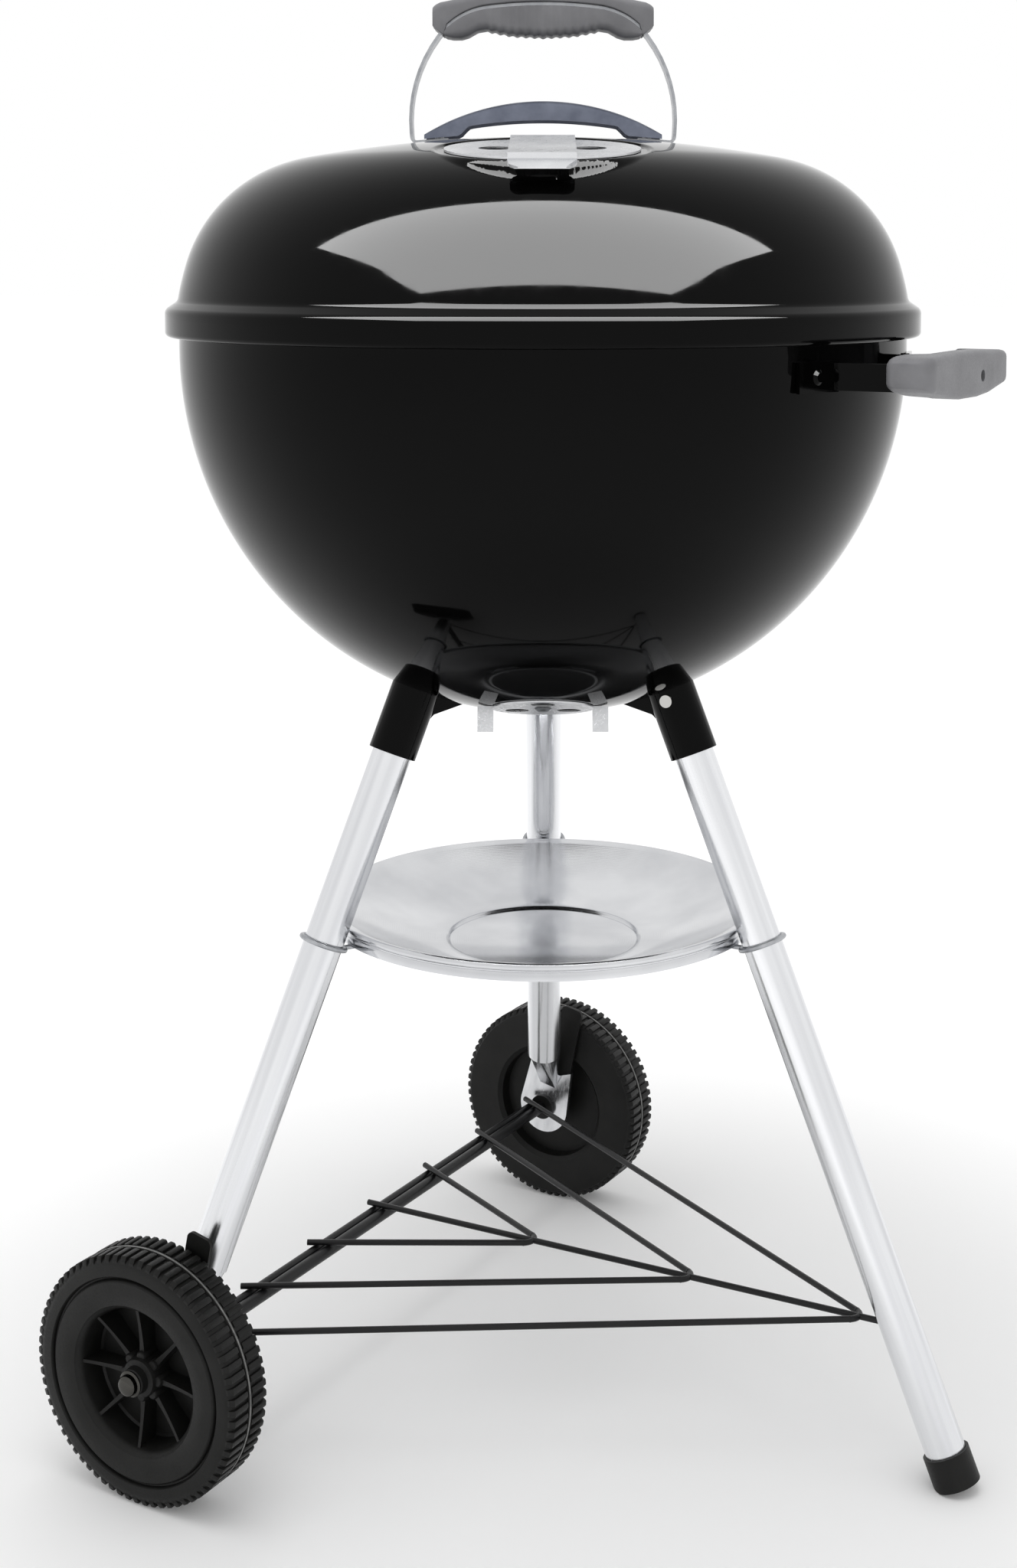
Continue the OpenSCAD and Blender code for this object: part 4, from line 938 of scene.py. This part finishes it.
def make_grip_bottom():
    """The ribbed belly of the handle's grip, under the strap."""
    pitch, ribbed_to = 5.6, 37
    n = 160
    stations = [-64 + 128 * k / n for k in range(n + 1)]

    def wave(s, sign):
        """The ribs' rise or fall, 0 to 1, fading out over the last 4 mm of the ribbed middle."""
        fade = smoothstep((ribbed_to - abs(s)) / 4)
        return (0.5 + sign * 0.5 * math.cos(2 * math.pi * s / pitch)) * fade

    def low(s):
        return mix(GRIP_LOWER, abs(s)) - 0.9 * wave(s, 1) + 0.5

    def high(s):
        return max(low(s) + 0.8, strap_z(abs(s)) - 1.3)

    def depth(s):
        return 12.8 - 0.7 * wave(s, -1)

    rings = grip_rings(stations, low, high, depth, 5.2, 0.7)
    return new_piece("lid_grip_belly", *loft(rings), angle=50)


dress(make_grip_top(), NYLON, "lid", "nylon", "lid_grip_top")
dress(make_grip_bottom(), NYLON, "lid", "nylon", "lid_grip_bottom")


def make_shield():
    """A pressed channel, arched over the crown, open below, whose ends lie on the lid."""
    half_l, half_w, wall = 76.5, 17.0, 1.2
    top_r, top_up = 149, 23
    under_r, under_up = 302, 10.7
    crown_r, gap = 891.0, 2.3

    def top(s):
        return LID_TOP + top_up - top_r + math.sqrt(top_r**2 - s * s)

    def base(s):
        low = LID_TOP + under_up - under_r + math.sqrt(under_r**2 - s * s)
        seat = LID_TOP - crown_r + math.sqrt((crown_r + gap) ** 2 - s * s)
        f = smoothstep((abs(s) - 47) / 8)
        return low * (1 - f) + seat * f

    n = 64
    rings = []
    for k in range(n + 1):
        s = -half_l + 2 * half_l * k / n
        b = base(s)
        t = max(top(s), b + 1.4)
        w = half_w - 3.5 * smoothstep((abs(s) - 60) / 17)
        inset = min(3.2, (t - b) * 0.4)
        b_in = min(b + 0.01, t - wall - 0.1)
        shoulder, ceiling = max(b_in, t - inset - 0.2), max(b_in, t - wall)
        section = [
            (-w, b), (-w, t - inset), (-w + inset * 0.3, t - inset * 0.3), (-w + inset, t),
            (w - inset, t), (w - inset * 0.3, t - inset * 0.3), (w, t - inset), (w, b),
            (w - wall, b_in), (w - wall, shoulder), (w - inset, ceiling),
            (-w + inset, ceiling), (-w + wall, shoulder), (-w + wall, b_in),
        ]
        rings.append([tuple(HANDLE @ Vector((s, a, z))) for a, z in section])
    return new_piece("heat_shield_arch", *loft(rings), angle=50)


dress(make_shield(), BLUED, "lid", "tinted_steel", "lid_heat_shield")


# ------------------------------------------------------------------ side handle
def make_side_grip():
    """The side handle's grip: a crowned bar with rounded ends and a screw well, hollowed at its middle."""
    lo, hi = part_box("side_grip")
    out, inner = hi.x * 1000, lo.x * 1000
    mid = RIM_H - 40.0
    end, out_r, in_r = 70, 9, 4  # half its length, and how its ends are rounded as seen from above
    upper = [(0, 14), (35, 13.6), (58, 12.7), (64, 12), (70, 9)]
    lower = [(0, -14), (14, -14), (35, -12.5), (62, -8), (70, -5)]
    ends = [62, 64.4, 66.4, 68, 69, 69.7, end]
    stations = [-y for y in reversed(ends)] + [-60 + 120 * k / 60 for k in range(61)] + ends
    rings = []
    for y in stations:
        a = abs(y)
        x1 = out
        if a > end - out_r:
            x1 = out - out_r + math.sqrt(max(0, out_r**2 - (a - end + out_r) ** 2))
        x0 = out - 16 - 12 * smoothstep((a - 37) / 9)
        if a > end - in_r:
            x0 = inner + in_r - math.sqrt(max(0, in_r**2 - (a - end + in_r) ** 2))
        rings.append([(x, y, mid + z) for x, z in rounded(x0, x1, mix(lower, a), mix(upper, a), 3.6, 3.6)])
    grip = new_piece("side_grip_cover", *loft(rings), angle=50)
    well = Matrix.Translation((out - 4, 19, mid - 1.5)) @ Matrix.Rotation(math.radians(90), 4, "Y")
    cut(grip, *lathe([(0, 0), (3.6, 0), (3.6, 12), (0, 12)], 32, well, closed=False))
    return grip


dress(make_side_grip(), NYLON, "frame", "nylon", "side_grip")


# ------------------------------------------------------------------ studio
# Metres here. Places are right, back and up of the kettle's foot, as seen from TURN round the kettle.
TURN = math.radians(30)
WORLD_LEVEL = 0.8
LIFT_NEAR, LIFT_FAR = 0.05, 0.28  # the floor's own painted glow, weaker near the grill, so that a painted shade lies round it
LIFT_FROM, LIFT_TO = 0.25, 0.8  # where it grows, from the middle out
CAMERA_AT = (0.00378, -1.4187, 0.7532)
CAMERA_DIP = math.radians(4.816)
CAMERA_LENS, CAMERA_SHIFT = 49.739, (-0.0258, -0.22)
AXIS = Vector((KETTLE_X / 1000, 0, 0))
VIEW = Matrix.Rotation(TURN, 4, "Z")


def seen_directly(tree):
    """1 for what the eye, a mirror or a glass meets, 0 for light on its way to a dull surface."""
    path = add(tree, "ShaderNodeLightPath")
    seen = path.outputs["Is Camera Ray"]
    for kind in ("Is Glossy Ray", "Is Transmission Ray"):
        seen = calc(tree, "MAXIMUM", seen, path.outputs[kind])
    return seen


def paper_floor():
    # Matt white paper: pale, with no gloss. It glows with a painted light where it is seen directly, and the
    # glow grows away from the grill, so that the real shadow stays and a painted shade lies in a soft disc
    # round the grill.
    bpy.ops.mesh.primitive_plane_add(size=60, location=(0, 0, -0.0005))
    floor = bpy.context.object
    floor.name = "studio_floor"
    mat, tree, shader, where = finish_of("matt white paper", "#f7f7f7", 0.9)
    shader.inputs["Specular IOR Level"].default_value = 0.0
    tint(tree, shader, noise(tree, where, 400, 2).outputs[0], "#f6f6f6", "#f8f8f8")
    far = add(tree, "ShaderNodeVectorMath", [(0, where)], operation="LENGTH")
    fade = add(tree, "ShaderNodeMapRange", [("Value", far.outputs["Value"])])
    fade.interpolation_type = "SMOOTHSTEP"
    fade.inputs["From Min"].default_value = LIFT_FROM
    fade.inputs["From Max"].default_value = LIFT_TO
    fade.inputs["To Min"].default_value = LIFT_NEAR
    fade.inputs["To Max"].default_value = LIFT_FAR
    # The painted glow, weakest near the grill, where it paints a soft shade.
    lift = calc(tree, "MULTIPLY", seen_directly(tree), fade.outputs[0])
    tree.links.new(lift, shader.inputs["Emission Strength"])
    shader.inputs["Emission Color"].default_value = (1, 1, 1, 1)
    floor.data.materials.append(mat)


def white_world():
    """An even white studio: full white where it is seen, WORLD_LEVEL where it lights."""
    world = bpy.data.worlds.new("studio")
    bpy.context.scene.world = world
    world.use_nodes = True
    tree = world.node_tree
    tree.nodes.clear()
    level = add(tree, "ShaderNodeMapRange", [("Value", seen_directly(tree))])
    level.inputs["To Min"].default_value = WORLD_LEVEL
    level.inputs["To Max"].default_value = 1.0
    back = add(tree, "ShaderNodeBackground", [("Strength", level.outputs[0])])
    back.inputs["Color"].default_value = (1, 1, 1, 1)
    add(tree, "ShaderNodeOutputWorld", [("Surface", back.outputs[0])])


def softbox(name, place, size, level, turn=0.0, **seen_by):
    """A rectangular lamp of an even brightness that hangs level and shines down."""
    light = bpy.data.lights.new(name, "AREA")
    light.shape, light.size, light.size_y = "RECTANGLE", size[0], size[1]
    light.energy = level * math.pi * size[0] * size[1]
    obj = bpy.data.objects.new(name, light)
    bpy.context.scene.collection.objects.link(obj)
    obj.location = AXIS + VIEW @ Vector(place)
    obj.rotation_euler.z = turn
    obj.visible_camera = False
    for key, value in seen_by.items():
        setattr(obj, key, value)
    return obj


paper_floor()
white_world()
softbox("overhead", (-0.2, -0.3, 2.6), (1.8, 1.8), 1.6, visible_glossy=False)
# A bright card that only the enamel mirrors: it makes the broad pale glare on the lid.
glare = softbox("enamel glare", (0.05, -1.11, 1.6), (2.9, 1.62), 44, TURN, visible_diffuse=False)
shiny = bpy.data.collections.new("enamelled pieces")
for obj in bpy.context.scene.objects:
    if obj.type == "MESH" and ENAMEL.name in obj.data.materials:
        shiny.objects.link(obj)
glare.light_linking.receiver_collection = shiny


def camera():
    """A view from just over the height of the rim, looking slightly down."""
    cam = bpy.data.cameras.new("camera")
    cam.sensor_fit = "AUTO"
    cam.sensor_width = 36
    cam.lens = CAMERA_LENS
    cam.shift_x, cam.shift_y = CAMERA_SHIFT
    obj = bpy.data.objects.new("camera", cam)
    bpy.context.scene.collection.objects.link(obj)
    obj.location = AXIS + VIEW @ Vector(CAMERA_AT)
    obj.rotation_euler = (math.radians(90) - CAMERA_DIP, 0, TURN)
    bpy.context.scene.camera = obj


camera()
bpy.context.scene.view_settings.view_transform = "Standard"
